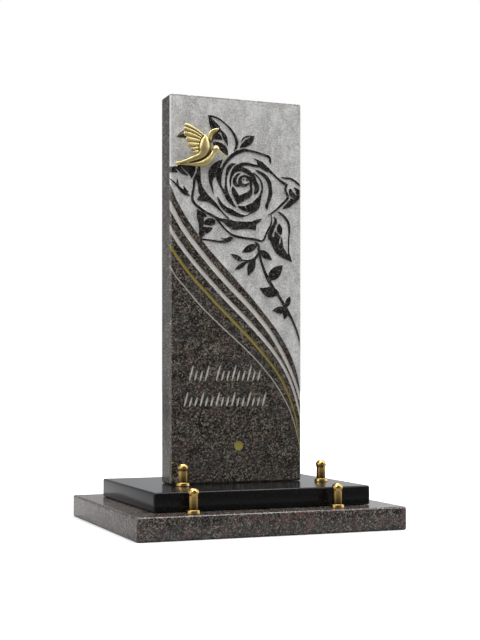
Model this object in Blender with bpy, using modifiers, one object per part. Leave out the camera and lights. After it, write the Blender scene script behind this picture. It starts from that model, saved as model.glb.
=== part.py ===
"""Granite grave plaque: a carved stele on two stacked plates, a gilded bird and four brass posts.

The origin is under the middle of the base plate. +X runs to the right along the front, +Y to the
back and +Z up. The stele's carving is drawn in millimetres on a stencil that is laid over its face.
"""
import math

import bmesh
import bpy
import numpy as np
from mathutils import Vector
from mathutils.geometry import delaunay_2d_cdt

MM = 0.001

# Slabs
BASE_WIDTH = 350 * MM
BASE_DEPTH = 306 * MM
BASE_THICKNESS = 29 * MM
PLINTH_WIDTH = 286 * MM
PLINTH_DEPTH = 230 * MM
PLINTH_THICKNESS = 24 * MM
STELE_WIDTH = 182 * MM
STELE_THICKNESS = 35 * MM
STELE_HEIGHT = 497 * MM
CHAMFER = 2 * MM
JOINT = 0.3 * MM

# Carving
BLAST_DEPTH = 0.8 * MM

# Turned brass posts
BASE_POST_HEIGHT = 30.5 * MM
PLINTH_POST_HEIGHT = 28.5 * MM
POST_SHAFT_RADIUS = 5.9 * MM
POST_CAP_RADIUS = 6.8 * MM
POST_DOME_HEIGHT = 5.6 * MM
POST_RIM_HEIGHT = 0.7 * MM
POST_TAPER_HEIGHT = 4 * MM
POST_FLANGE_RADIUS = 8.7 * MM
POST_FLANGE_HEIGHT = 4.2 * MM
POST_SKIRT_HEIGHT = 1 * MM
POST_LIP = 1.3 * MM
POST_DOME_STEPS = 6
POST_SIDES = 20

# Where the posts stand: a clear space behind each flange, and insets from the slab that they stand before
BASE_POST_CLEARANCE = 9.3 * MM
BASE_POST_LEFT_INSET = 43 * MM
BASE_POST_RIGHT_INSET = 55 * MM
PLINTH_POST_CLEARANCE = 12.5 * MM
PLINTH_POST_LEFT_INSET = 10.3 * MM
PLINTH_POST_RIGHT_OUTSET = 19 * MM

# The stencil: the size of face it was drawn for, and where its corner lies on that face
STENCIL_WIDTH = 182
STENCIL_HEIGHT = 497
STENCIL_LEFT = -2.1
STENCIL_FOOT = -0.7
# Spans between two knots of a stroke, its least width, and the bend below which a corner is left out
STROKE_STEPS = 2
FINEST_STROKE = 0.3
CARVING_FACET = math.radians(5)

# The levels on which the plinth plate and the stele stand
PLINTH_Z = BASE_THICKNESS + JOINT
STELE_Z = PLINTH_Z + PLINTH_THICKNESS + JOINT
STELE_FRONT = -STELE_THICKNESS / 2

# Strokes have knots of (across, up, width) on the stencil, in millimetres.
# The blasted ground's lower edge, from the left edge of the stone to the right
GROUND_EDGE = ((-4, 398), (3, 381), (10, 364.8), (20, 347.3), (32, 330), (47.5, 310), (66, 290),
               (95.5, 260), (114.5, 240), (132, 220), (148, 200.5), (160, 183), (167.5, 170),
               (174, 155.5), (179, 139), (183, 118), (187, 92))
GROUND_RIGHT = 187
GROUND_TOP = 503

BANDS = {
    "broad band": ((-4, 368, 6.2), (5, 351, 6.2), (20, 326.5, 6.2), (50, 290, 6.4), (80, 258.3, 6.4),
                   (110, 229.5, 5.9), (139.7, 196, 5.4), (159.4, 164.6, 4.8), (171.3, 140.6, 4.2),
                   (179.4, 119.7, 3.6), (187, 94, 3)),
    "narrow band": ((-4, 338, 5), (6, 320, 5), (20.5, 300, 5), (47, 270, 5.2), (76.5, 240, 5.2),
                    (108, 210, 5.2), (137.2, 179.7, 4.8), (153, 159.6, 4.4), (165.2, 139.6, 3.9),
                    (173.4, 119.7, 3.3), (179.4, 99.8, 2.7), (186.5, 70, 2)),
    "gilded band": ((-4, 315, 3.6), (3, 302.5, 3.7), (12, 290, 3.8), (28, 270, 3.8), (57, 240, 3.9),
                    (89, 209, 3.9), (118.8, 179.8, 3.7), (145, 149.7, 3.2), (158.4, 129.7, 2.9),
                    (167.9, 109.8, 2.6), (174.8, 89.9, 2.2), (179.1, 70, 1.8), (185, 40, 1.2)),
    "thread": ((-4, 289, 1.6), (2, 278.5, 1.6), (9, 266.5, 1.6), (24, 250, 1.6), (42, 230, 1.6),
               (63.5, 210, 1.6), (86.5, 190, 1.6), (109.5, 170, 1.5), (129.7, 149.8, 1.5),
               (146.5, 129.8, 1.4), (159.5, 109.9, 1.3), (169.6, 90, 1.2), (176.2, 70, 1.1), (185, 36, 1)),
}

ROSE = {
    "outer petal": ((70.5, 397, 3), (72, 404, 3), (76, 412, 3), (81, 418.5, 3.5), (88, 425, 4),
                    (96, 429.5, 4), (104, 432, 3.2), (113, 431.5, 2.2), (125, 429.3, 1.8),
                    (134, 427, 2.2), (139, 424.3, 2.8), (140, 420, 2.2), (141, 416, 0.4)),
    "left fold": ((73.5, 418, 0.4), (68, 412.5, 6), (62.5, 405.5, 10), (59, 398, 10), (57, 390, 4.5),
                  (58.5, 382, 2.4), (61, 373, 0.4)),
    "left fold back": ((67, 407, 6), (68, 399, 8), (68.5, 392, 6), (70, 385.5, 3.2), (73, 380, 2.2),
                       (77, 374, 4)),
    "second petal": ((92.5, 413.8, 0.4), (86.5, 412, 3), (82, 407.3, 4.6), (79.5, 401, 3),
                     (78.2, 394, 2), (77.8, 386, 2.2), (78, 379, 4), (79.5, 372, 6), (83, 366.5, 5.5),
                     (87.5, 361, 3.2), (92, 357, 0.4)),
    "third petal": ((84.5, 383.5, 1), (84, 390, 2), (85, 396, 2.4), (87.5, 402, 4.5), (91.5, 407, 6.5),
                    (96, 411, 5), (102, 413.8, 3.6), (108, 414.4, 3), (115, 413.3, 2.6), (124, 412, 2.4)),
    "third petal lining": ((89, 404, 4), (94, 406.3, 5), (100, 407, 5), (106, 405.3, 5.5),
                           (112, 402, 5.2), (117, 397.7, 3), (121, 392.5, 0.4)),
    "turned rim": ((116.5, 422.3, 0.4), (121, 420, 1.8), (125.5, 415.8, 7), (130.5, 412, 7.2),
                   (136, 408.7, 5.5), (140.5, 406, 3), (145, 402.5, 2), (150, 398.3, 2),
                   (155, 394.8, 2.4), (160, 391.8, 3), (165, 390.2, 1.6)),
    "right petal": ((119, 407.2, 0.4), (124, 404.8, 3), (130, 401.8, 4), (135, 397.5, 4.5),
                    (138.3, 392, 5), (139.8, 385, 4.4), (140.2, 378, 5), (138.5, 371, 4.2),
                    (136.3, 365, 3.2), (134.8, 360.5, 3.8), (135.8, 356, 0.4)),
    "inner rim": ((115, 403.5, 2), (119.5, 401, 1.4), (124, 397, 1.6), (127.3, 392, 2), (128.6, 386, 2),
                  (128, 380, 2.2), (126, 374.5, 2.6), (124.5, 369, 4)),
    "bowl right": ((124.8, 373, 1.5), (122.8, 367.5, 7), (120, 362, 10.5), (116.5, 357.3, 10),
                   (113.5, 352.8, 4.5), (110.5, 349.7, 1.2), (106.5, 347.6, 0.9), (103, 347, 1)),
    "bowl left": ((94, 358.9, 0.4), (99, 357.2, 3.8), (105, 356, 7), (111, 357, 10), (117, 359, 11)),
    "cup left": ((87.3, 384, 0.6), (88.3, 379.5, 5), (91.5, 373, 6.5), (94.5, 367.5, 7), (94.8, 361, 1)),
    "cup right": ((94.3, 363.5, 3), (98.5, 368.2, 8), (104, 371.8, 7.6), (110, 375.2, 6.5),
                  (112.8, 381, 3.4), (112.8, 386.5, 2.6), (112.4, 391.5, 3), (110.6, 395, 3.4),
                  (107, 397.7, 2.8), (103, 398.5, 2), (99.2, 396.9, 2.6), (97.2, 393, 4.2),
                  (98, 388.6, 5), (101.5, 386.6, 4), (105.5, 386.8, 3), (109, 388.6, 1.6),
                  (110.6, 390, 0.4)),
    "heart left": ((98.6, 402, 0.4), (94.5, 399.4, 2.8), (91.3, 395, 4.6), (90, 390, 4.8),
                   (91.5, 386.8, 4), (97, 385.7, 3)),
    "heart right": ((107.5, 398.2, 1), (112.5, 395.8, 3), (117.3, 392, 4.5), (120.3, 387.5, 6),
                    (121, 382.5, 6), (119, 378, 4), (117, 375.8, 0.5)),
    "left stamen": ((101.2, 393.4, 0.8), (102.5, 393.8, 1.6), (103.6, 394, 0.6)),
    "right stamen": ((105.5, 394.2, 0.8), (107, 393.4, 1.6), (108.4, 392.4, 0.6)),
    "lower petal": ((66, 370, 0.4), (69, 364, 3), (73, 358.5, 4), (79, 353.8, 5.6), (86, 350.8, 6.6),
                    (92, 348.3, 5), (98, 346.9, 3.4), (104.5, 346.5, 1)),
    "left petal": ((41, 408, 2), (40.7, 400, 4.6), (40.3, 392, 5.6), (42.3, 383, 5), (45, 375, 8.4),
                   (50.6, 368, 8.2), (58, 363.5, 5.6), (64, 358.5, 4), (70, 352.8, 1.6),
                   (76, 347, 1.3), (82, 342, 1.5)),
    "left petal fold": ((38.8, 364.6, 1.5), (44, 366.5, 6.5), (50, 366, 6), (56, 364.5, 4)),
    "left petal rim": ((37.5, 399, 0.4), (35, 390, 3), (34, 380, 2.2), (32.3, 371, 2.6), (32.3, 364, 3),
                       (35.5, 359, 3), (41.5, 354.4, 2.6), (50, 349, 2.6), (60, 344.8, 2.6),
                       (68, 341, 3), (78, 339, 2)),
    "bottom petal": ((66, 341.5, 2.5), (74, 339.6, 4), (82, 336.4, 9), (90, 333.8, 10.5),
                     (98, 334.2, 9.6), (106, 334.6, 8.8), (114, 334.8, 9.6), (120.3, 334.2, 10.5)),
    "bottom petal end": ((114, 337, 5), (120, 339.5, 5), (124, 341.7, 3), (128, 344, 0.4)),
    "bottom petal rim": ((64, 342, 2.5), (70, 335.6, 2), (78, 327.5, 1.7), (86, 321.8, 2),
                         (94, 319.4, 2.2), (104, 318, 2.2), (114, 317.2, 2.4), (122, 316, 2.2),
                         (127, 315, 1.8), (131, 317, 2), (133, 322, 2), (137, 330, 2), (140.5, 336, 2),
                         (141.8, 342.5, 1.4), (141.3, 350.5, 0.8)),
    "right rim": ((164, 391, 2), (161.8, 387.5, 2.6), (162, 382.5, 2.6), (163.8, 378, 2.6),
                  (165, 374, 2.8), (162, 369.5, 2.6), (156, 363.8, 2.2), (150, 358.2, 1.8),
                  (144, 353.6, 1.5), (136.5, 348.8, 0.6)),
}

LEAVES = {
    "crown line": ((53.3, 473.3, 1), (58, 472.7, 1.8), (66, 471, 1.5), (75, 466, 1.4), (84, 458.3, 2),
                   (90, 450, 3), (93, 441.5, 3.6), (91.8, 434.5, 2.6), (89, 430, 0.4)),
    "crown blade": ((54, 473.4, 0.6), (57, 468, 5), (60.5, 462, 9.5), (64, 457, 12), (68, 453, 8)),
    "crown right": ((69, 455.4, 3), (72.6, 452.8, 3), (76, 447.8, 5.5), (78.2, 441.4, 4),
                    (80.3, 434.6, 0.4)),
    "crown middle": ((60, 448, 7), (66, 447.5, 8), (70.5, 445.5, 4.5), (72.5, 443, 0.5)),
    "crown foot": ((60, 438, 3), (67, 437, 6), (73, 433.5, 8.5), (77.5, 428.5, 6.5), (80.5, 424, 0.5)),
    "bud leaf": ((97, 435, 0.4), (102, 438.2, 5), (107, 441.5, 7.6), (112, 445.2, 6.6), (117.8, 450.8, 0.6)),
    "bud leaf rim": ((99.3, 441.6, 0.4), (101.2, 446, 1.3), (105, 449, 1.5), (110, 450.6, 1.4),
                     (117.8, 451, 0.8)),
    "side tip": ((11, 443.3, 0.4), (16, 444.3, 2.6), (22, 445.3, 5), (27, 446, 5)),
    "side tip rim": ((11, 443.3, 0.4), (15, 447, 1), (21, 451.5, 1)),
    "left lobe one": ((-4, 401.5, 7), (3, 401, 7), (7.5, 400, 4.5), (12, 398, 0.5)),
    "left lobe two": ((6, 404.5, 1), (12, 402.5, 5), (19, 399, 5), (26.5, 394.7, 0.4)),
    "left lobe three": ((12, 406, 2), (20, 405, 5), (27, 402, 9.5), (30.5, 397, 5.5), (31, 391, 0.4)),
    "left lobe four": ((26, 406, 4), (33, 405.5, 5), (34, 400, 5), (32, 394, 1)),
    "thorn stem": ((1, 390.5, 0.6), (8, 384.5, 1.6), (15, 378, 3), (22, 372.3, 4.2), (28.8, 369, 0.5)),
    "upper thorn": ((12, 390, 0.4), (12, 385.5, 1.6), (12, 381, 3)),
    "lower thorn": ((20, 381.3, 0.4), (22, 377, 2.4), (25, 372.5, 4)),
    "low leaf spine": ((38.7, 352.3, 0.4), (41.8, 346, 7.5), (43.5, 339, 8), (43.8, 331, 5.4),
                       (43.6, 324, 4), (42.5, 314, 5)),
    "low leaf shoulder": ((42, 348, 4), (47, 345.3, 4.5), (52, 343.8, 0.6)),
    "low leaf egg": ((47.7, 334.5, 3), (53, 336.4, 8), (58.5, 337, 8.6), (63.4, 336.6, 4)),
    "low leaf third": ((43.5, 327, 5.5), (49, 326, 8), (54, 326.7, 6.4), (59.6, 329.8, 0.4)),
    "low leaf fourth": ((41, 318, 5), (45, 319.3, 4), (49.2, 320.3, 0.4)),
    "low tendril": ((42, 314.4, 1.6), (50, 313.8, 1.6), (60, 312.9, 1.8), (70, 312, 2), (77, 312.7, 3),
                    (83, 315.3, 4.2), (87.8, 317.5, 1)),
    "low tendril tip": ((71.3, 316.5, 0.4), (76, 315.6, 1.2), (81, 316.8, 1.8), (86, 318.2, 2)),
    "right leaf line": ((155.3, 399.9, 0.4), (161, 399.3, 1.5), (168, 398.9, 1.9), (174, 396.6, 2),
                        (179, 393.2, 2), (186, 388, 1.4)),
    "right leaf": ((157.3, 358.8, 0.4), (164, 362.6, 4.6), (170, 367.8, 7), (175.5, 373.5, 8.5),
                   (180.5, 379, 8), (186, 383, 5)),
    "right leaf lobe": ((168, 385.3, 1.6), (169.5, 380.6, 5.6), (173, 376, 6.5), (176, 372, 6)),
    "right leaf tip": ((173.6, 387.7, 0.6), (177.5, 384.6, 3.6), (182, 381.5, 6), (187, 380, 7)),
    "hanging line": ((151, 354.6, 0.6), (155, 352, 2), (160, 348, 2.6), (164.6, 342.3, 3),
                     (166.7, 336, 2.8), (167, 329, 2), (166.3, 319, 1.4), (166, 309, 1.4),
                     (166.3, 301, 1.6), (168, 295, 2), (170.8, 289, 0.4)),
    "hanging lobe": ((145.3, 347.6, 0.4), (147.6, 342.3, 3.6), (145.2, 336, 4), (142.3, 330, 4.8),
                     (139.6, 323.5, 5.5), (141, 318, 7)),
    "hanging egg": ((152.3, 338.4, 2), (153, 333.5, 6.6), (153.6, 328.5, 6.8), (155.6, 324.4, 1.5)),
    "hanging middle": ((147.3, 328.5, 0.8), (148.6, 324, 5.6), (149, 318, 8), (149, 311, 9)),
    "hanging cheek": ((150.5, 323.5, 3), (153.5, 321.8, 2.5), (150, 318, 5)),
    "hanging spike": ((155.9, 321.5, 0.4), (156.3, 314.5, 2.4), (156, 307.5, 5), (156, 301, 8)),
    "hanging body": ((139.6, 321, 4), (144.4, 316, 8.4), (149.1, 310, 11.6), (153.8, 303.8, 12.5),
                     (160, 298, 8.5), (165.5, 293.8, 4.6), (170.8, 289, 0.4)),
    "stem": ((117.3, 313.2, 0.4), (120.5, 311.8, 2.4), (123.2, 309, 3.2), (123.6, 303, 3),
             (124.8, 297, 3), (126.6, 290, 2.8), (129, 283, 2.8), (132, 275.3, 3.2), (136, 267, 4),
             (140.3, 260, 4), (145, 252.7, 4), (149.6, 247, 3.2), (153.2, 242, 2.8),
             (157.8, 235.3, 3.4), (162, 228, 4), (167, 220, 3.4), (171.5, 212.6, 2.4),
             (175.5, 204, 2.2), (179, 195, 2), (182, 185, 1.6), (184.5, 170, 0.6)),
    "side stem": ((123.6, 300, 2.4), (120, 293.6, 3), (116, 290, 3.4), (110, 289, 1.4), (100, 289.2, 1.2)),
    "second side stem": ((113, 289.5, 1.6), (109, 287.6, 1.6), (104, 285.5, 1.8)),
    "half leaf": ((125, 253.7, 0.4), (130, 251, 6.3), (136, 249, 12.3), (142, 248.7, 13),
                  (148, 247.5, 8.5), (152, 244.8, 3)),
}

# Plain leaves of the branch: (across, up) of the base, (across, up) of the tip, width
BRANCH_LEAVES = (
    ((121.5, 309.8), (100.2, 299.6), 9.5),
    ((124.5, 302.5), (142.5, 291), 9.5),
    ((101.5, 288.3), (84.4, 296.7), 6.5),
    ((106.5, 286.8), (90.2, 276.2), 6),
    ((117.5, 292), (108.6, 269.2), 10.5),
    ((137.5, 264.4), (157.7, 284.5), 14.5),
    ((162.2, 229), (168.2, 244), 7.6),
    ((162.5, 226), (143.4, 224.9), 10),
    ((163.6, 228), (160, 213.5), 8),
)
LEAF_STEPS = 7
LEAF_FULLNESS = 0.85

# Light veins blasted through the leaves and petals
VEINS = {
    "crown vein": ((70.5, 454, 0.4), (72, 448.5, 1), (74.3, 443.5, 1.1), (78, 438.5, 1), (81, 434, 0.6)),
    "crown foot vein": ((62, 442.3, 0.4), (68, 441.8, 1.3), (74, 440, 1.4), (78, 436.5, 1.2), (81, 432, 1)),
    "hanging vein": ((152, 339.5, 0.4), (148.6, 334.5, 1.5), (146, 328.5, 1.3), (144.2, 323.5, 1.1),
                     (143.2, 320.5, 0.4)),
    "egg vein": ((147.8, 328.6, 0.4), (150.6, 325.4, 1), (153.5, 323.6, 1), (156, 323.6, 0.8)),
    "spike vein": ((154.9, 322, 0.6), (153.9, 317.5, 1.6), (152.6, 311, 0.4)),
    "right leaf vein": ((169.8, 385.8, 0.4), (173, 383.6, 1.3), (175.6, 379.8, 1.2), (177.5, 376.8, 0.4)),
    "right leaf notch": ((165.5, 374.8, 0.6), (170.5, 373.5, 1.4), (174.5, 371.5, 0.4)),
    "left lobe vein": ((9, 403, 0.4), (12.5, 399.6, 1.4), (16, 396.5, 1)),
    "second left lobe vein": ((17.5, 404.8, 0.4), (22, 400.2, 1.3), (27, 395.8, 1.3), (31.5, 389.5, 0.8)),
    "left petal vein": ((38, 389, 0.4), (38.2, 381, 2.4), (37.6, 372, 3.2), (37, 364, 3)),
    "left petal gap": ((37.8, 406, 2), (36.5, 400, 2), (33.5, 393, 1.4)),
    "left fold notch": ((61, 395, 0.4), (62.3, 390, 3), (63.5, 384, 4)),
    "heart gleam": ((92, 389.5, 0.4), (93.4, 393.5, 0.9), (95.2, 397.4, 1), (98, 400.3, 1)),
    "bowl gleam": ((104, 360.4, 0.4), (105.3, 358.3, 1), (106.6, 356.3, 0.4)),
    "low leaf vein": ((47.3, 337.5, 0.4), (49.7, 341.3, 1), (54, 342.3, 1)),
    "bottom petal vein": ((71.5, 337, 0.4), (75.5, 333.6, 1.3), (80, 329.8, 1.4)),
}

# The gilded disc: (across, up) of its centre, and its diameter
DISC_CENTRE = (95.5, 49)
DISC_DIAMETER = 12.5
DISC_SIDES = 20

# Two rows of slanting strokes: left end, foot, pitch, height, and the count in each group
STROKE_ROWS = (
    {"left": 28, "foot": 133, "pitch": 7.2, "height": 15, "groups": (4, 9)},
    {"left": 21, "foot": 100, "pitch": 7.2, "height": 14, "groups": (16,)},
)
ROW_STROKE_WIDTH = 2.2
ROW_STROKE_END = 0.9
ROW_STROKE_SLANT = 0.28
ROW_GROUP_SPACE = 8
# How much the strokes' heights vary along a row, and the turn of that wave from one to the next
ROW_HEIGHT_SWING = 0.3
ROW_HEIGHT_TURN = 2.1

# The bird, drawn like the strokes: knots of (across, up, lift above the stone, radius). It keeps its
# own size, in millimetres, and its middle keeps its place on the face.
BIRD_MIDDLE = (42, 430)
BIRD_BODY = ((13.2, 407.9, 4, 0.8), (19.1, 408.2, 4, 1.5), (27, 408.7, 4.4, 2), (34.4, 409.1, 4.8, 2.9),
             (41.3, 410.1, 5.4, 4), (47.2, 412.2, 5.8, 4.9), (52.2, 415.9, 6, 4.7), (56, 420.9, 6.2, 4),
             (58.6, 425.4, 6.6, 3.6), (61, 429.2, 7.2, 4.4), (63.2, 429.2, 7.2, 3.7), (65.2, 428, 6.7, 1.4))
BIRD_BEAK = ((63.5, 429.2, 6.8, 1.4), (66, 427.4, 6.2, 0.95), (71.5, 424.2, 4.8, 0.7),
             (77.9, 420.2, 2.8, 0.5))
BIRD_MANTLE = ((45, 444.6, 12, 1.4), (45.4, 442, 12, 3.2), (45.1, 438.8, 11.5, 5.1), (44.4, 432, 11, 6.6),
               (43.8, 426, 10, 6), (38, 418.9, 8.2, 3.8), (31.4, 415.8, 7, 3.1), (24.7, 413, 6, 2.4),
               (18, 410.7, 5.3, 1.7), (12.8, 409.2, 5, 1.5), (10.4, 408.6, 4.8, 2.2), (8.4, 407.8, 4.6, 1))
BIRD_NAPE = ((50.8, 438.5, 5.4, 3.8), (50.2, 433.5, 5.4, 5.4), (49.8, 428, 5.2, 6), (48, 422.5, 5.2, 5.6),
             (44, 417.8, 5, 4.6), (39, 414.6, 4.8, 3.4), (33, 412.3, 4.4, 2.4), (26, 410.8, 4.2, 1.5))
BIRD_FAR_WING = ((52.6, 436, 6.2, 2.4), (52.9, 441, 6.8, 2.8), (53.5, 446, 7.4, 3), (56, 450.6, 8, 2.8),
                 (59.8, 453.1, 8.6, 2.2), (62.8, 454.4, 8.8, 1.5), (64.8, 455.2, 9, 0.7))
# Feathers of the near wing: root, tip, width and how far it arches up, from the leading edge down
BIRD_FEATHERS = (
    ((44.5, 443.6), (16.8, 456.6), 4.6, 2.4),
    ((44.5, 441.6), (15.8, 451.8), 6.2, 2),
    ((44, 439.4), (16.4, 446), 7, 1.2),
    ((44, 436.8), (19.2, 438.8), 7.4, 0.5),
    ((44, 434), (22, 431.8), 7.2, 0),
    ((43.5, 431), (26, 426.4), 6.2, 0),
    ((43, 428), (29.5, 422.6), 5.2, -0.2),
)
FEATHER_ROOT_LIFT = 11.2
FEATHER_TIP_LIFT = 13
FEATHER_LIFT_DROP = 0.4
# A feather's fullness at shares of its length, from root to tip
FEATHER_BLADE = ((0, 0.5), (0.35, 0.7), (0.75, 1), (0.95, 0.85), (1, 0.25))
# How deep each limb is for its height on the face
BODY_FLATNESS = 0.85
BEAK_FLATNESS = 1
MANTLE_FLATNESS = 0.5
NAPE_FLATNESS = 0.7
FAR_WING_FLATNESS = 0.45
FEATHER_FLATNESS = 0.36
FINEST_LIMB = 0.3


def start_empty():
    """Remove every object from the open scene."""
    for old in list(bpy.data.objects):
        bpy.data.objects.remove(old, do_unlink=True)


def new_collection(name):
    collection = bpy.data.collections.new(name)
    bpy.context.scene.collection.children.link(collection)
    return collection


def make_material(name, colour, roughness, metallic=0.0):
    material = bpy.data.materials.new(name)
    material.use_nodes = True
    shader = material.node_tree.nodes["Principled BSDF"]
    shader.inputs["Base Color"].default_value = (*colour, 1)
    shader.inputs["Roughness"].default_value = roughness
    shader.inputs["Metallic"].default_value = metallic
    return material


def add_object(name, mesh, collection, material=None):
    part = bpy.data.objects.new(name, mesh)
    collection.objects.link(part)
    if material:
        mesh.materials.append(material)
    return part


def meshed(guide):
    """The mesh of a curve object, with its caps welded on and its place applied. The curve is removed."""
    depsgraph = bpy.context.evaluated_depsgraph_get()
    mesh = bpy.data.meshes.new_from_object(guide.evaluated_get(depsgraph))
    mesh.transform(guide.matrix_world)
    shape = bmesh.new()
    shape.from_mesh(mesh)
    bmesh.ops.remove_doubles(shape, verts=shape.verts, dist=0.001 * MM)
    shape.to_mesh(mesh)
    shape.free()
    bpy.data.objects.remove(guide, do_unlink=True)
    return mesh


def slab(name, width, depth, height, foot, collection, material):
    """A stone slab with every edge broken by the chamfer, standing on the height foot."""
    mesh = bpy.data.meshes.new(name)
    shape = bmesh.new()
    bmesh.ops.create_cube(shape, size=1)
    bmesh.ops.scale(shape, vec=(width, depth, height), verts=shape.verts)
    bmesh.ops.translate(shape, vec=(0, 0, height / 2), verts=shape.verts)
    shape.to_mesh(mesh)
    shape.free()
    part = add_object(name, mesh, collection, material)
    part.location.z = foot
    bevel = part.modifiers.new("chamfer", "BEVEL")
    bevel.width = CHAMFER
    bevel.segments = 1
    return part


def smooth_curve(knots, steps):
    """Points of a centripetal Catmull-Rom curve through the knots, with steps spans between two knots."""
    knots = np.array(knots, float)
    ends = np.vstack([2 * knots[0] - knots[1], knots, 2 * knots[-1] - knots[-2]])
    gaps = np.sqrt(np.linalg.norm(np.diff(ends[:, :2], axis=0), axis=1))
    t = np.concatenate([[0], np.cumsum(gaps)])

    def between(a, b, j, k, s):
        return ((t[k] - s) * a + (s - t[j]) * b) / (t[k] - t[j])

    points = []
    for i in range(1, len(knots)):
        s = np.linspace(t[i], t[i + 1], steps, endpoint=False)[:, None]
        lines = [between(ends[j], ends[j + 1], j, j + 1, s) for j in (i - 1, i, i + 1)]
        before = between(lines[0], lines[1], i - 1, i + 1, s)
        after = between(lines[1], lines[2], i, i + 2, s)
        points.append(between(before, after, i, i + 1, s))
    return np.vstack(points + [knots[-1:]])


def sides_of(centres, widths):
    """The two sides of a stroke: its centre line moved out by half its width, left and right."""
    along = np.gradient(centres, axis=0)
    along /= np.linalg.norm(along, axis=1)[:, None]
    across = np.stack([-along[:, 1], along[:, 0]], 1) * widths[:, None] / 2
    return centres + across, centres - across


def stroke_sides(knots):
    points = smooth_curve(knots, STROKE_STEPS)
    return sides_of(points[:, :2], points[:, 2].clip(FINEST_STROKE))


def leaf_sides(base, tip, width):
    """A pointed leaf, widest a little before its middle."""
    share = np.linspace(0, 1, LEAF_STEPS)[:, None]
    centres = np.array(base) * (1 - share) + np.array(tip) * share
    widths = width * np.sin(math.pi * share[:, 0] ** LEAF_FULLNESS) ** LEAF_FULLNESS
    return sides_of(centres, widths.clip(FINEST_STROKE))


def row_strokes(row):
    """The knots of one row's slanting strokes, whose heights rise and fall along the row."""
    left = row["left"]
    for group in row["groups"]:
        for i in range(group):
            height = row["height"] * (1 + ROW_HEIGHT_SWING * math.cos(ROW_HEIGHT_TURN * i))
            lean = ROW_STROKE_SLANT * height
            yield ((left, row["foot"], ROW_STROKE_END),
                   (left + lean / 2, row["foot"] + height / 2, ROW_STROKE_WIDTH),
                   (left + lean, row["foot"] + height, ROW_STROKE_END))
            left += row["pitch"]
        left += ROW_GROUP_SPACE


class Stencil:
    """Flat outlines laid over each other, each one blasted or spared, the later above the earlier."""

    def __init__(self):
        self.points = []
        self.faces = []
        self.blasted = []

    def add_outline(self, outline, blasted):
        start = len(self.points)
        self.points.extend(outline)
        self.faces.append(list(range(start, start + len(outline))))
        self.blasted.append(blasted)

    def add_strip(self, sides, blasted):
        """A stroke goes in as a row of four-sided pieces, so it may turn on itself."""
        left, right = sides
        for i in range(len(left) - 1):
            self.add_outline([right[i], right[i + 1], left[i + 1], left[i]], blasted)

    def cut_shape(self):
        """A flat mesh of what is blasted, in stencil millimetres, with its faces towards the viewer."""
        points, _, faces, _, _, sources = delaunay_2d_cdt(
            [Vector(p) for p in self.points], [], self.faces, 1, 1e-4)
        shape = bmesh.new()
        verts = [shape.verts.new((p.x, 0, p.y)) for p in points]
        for face, source in zip(faces, sources):
            if source and self.blasted[max(source)]:
                shape.faces.new([verts[i] for i in face])
        bmesh.ops.delete(shape, geom=[v for v in shape.verts if not v.link_faces], context="VERTS")
        bmesh.ops.dissolve_limit(shape, angle_limit=CARVING_FACET, verts=shape.verts, edges=shape.edges)
        return shape


def face_place(across, up):
    """X and Z in the part's frame of a point on the stencil."""
    x = -STELE_WIDTH / 2 + (across + STENCIL_LEFT) * STELE_WIDTH / STENCIL_WIDTH
    z = STELE_Z + (up + STENCIL_FOOT) * STELE_HEIGHT / STENCIL_HEIGHT
    return x, z


def carving_stencil():
    stencil = Stencil()
    edge = smooth_curve([(*knot, 0) for knot in GROUND_EDGE], STROKE_STEPS)[:, :2]
    corners = ((GROUND_RIGHT, GROUND_TOP), (GROUND_EDGE[0][0], GROUND_TOP))
    stencil.add_outline([*edge, *corners], True)
    for knots in (*ROSE.values(), *LEAVES.values()):
        stencil.add_strip(stroke_sides(knots), False)
    for leaf in BRANCH_LEAVES:
        stencil.add_strip(leaf_sides(*leaf), False)
    for knots in (*VEINS.values(), *BANDS.values()):
        stencil.add_strip(stroke_sides(knots), True)
    turn = np.linspace(0, 2 * math.pi, DISC_SIDES, endpoint=False)
    disc = np.array(DISC_CENTRE) + DISC_DIAMETER / 2 * np.stack([np.cos(turn), np.sin(turn)], 1)
    stencil.add_outline(list(disc), True)
    for row in STROKE_ROWS:
        for knots in row_strokes(row):
            stencil.add_strip(stroke_sides(knots), True)
    return stencil


def carving_cutter(collection):
    """What is taken off the stele's face: the blasted shapes, as far in front of it as behind."""
    shape = carving_stencil().cut_shape()
    for vert in shape.verts:
        x, z = face_place(vert.co.x, vert.co.z)
        vert.co = (x, STELE_FRONT - BLAST_DEPTH, z)
    grown = bmesh.ops.extrude_face_region(shape, geom=shape.faces[:])
    moved = [item for item in grown["geom"] if isinstance(item, bmesh.types.BMVert)]
    bmesh.ops.translate(shape, vec=(0, 2 * BLAST_DEPTH, 0), verts=moved)
    bmesh.ops.recalc_face_normals(shape, faces=shape.faces)
    mesh = bpy.data.meshes.new("carving")
    shape.to_mesh(mesh)
    shape.free()
    return add_cutter("carving", mesh, collection)


def add_cutter(name, mesh, collection):
    cutter = add_object(name, mesh, collection)
    cutter.hide_render = True
    cutter.display_type = "WIRE"
    return cutter


def cut(part, cutter):
    carve = part.modifiers.new(cutter.name, "BOOLEAN")
    carve.operation = "DIFFERENCE"
    carve.solver = "EXACT"
    carve.object = cutter


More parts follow.
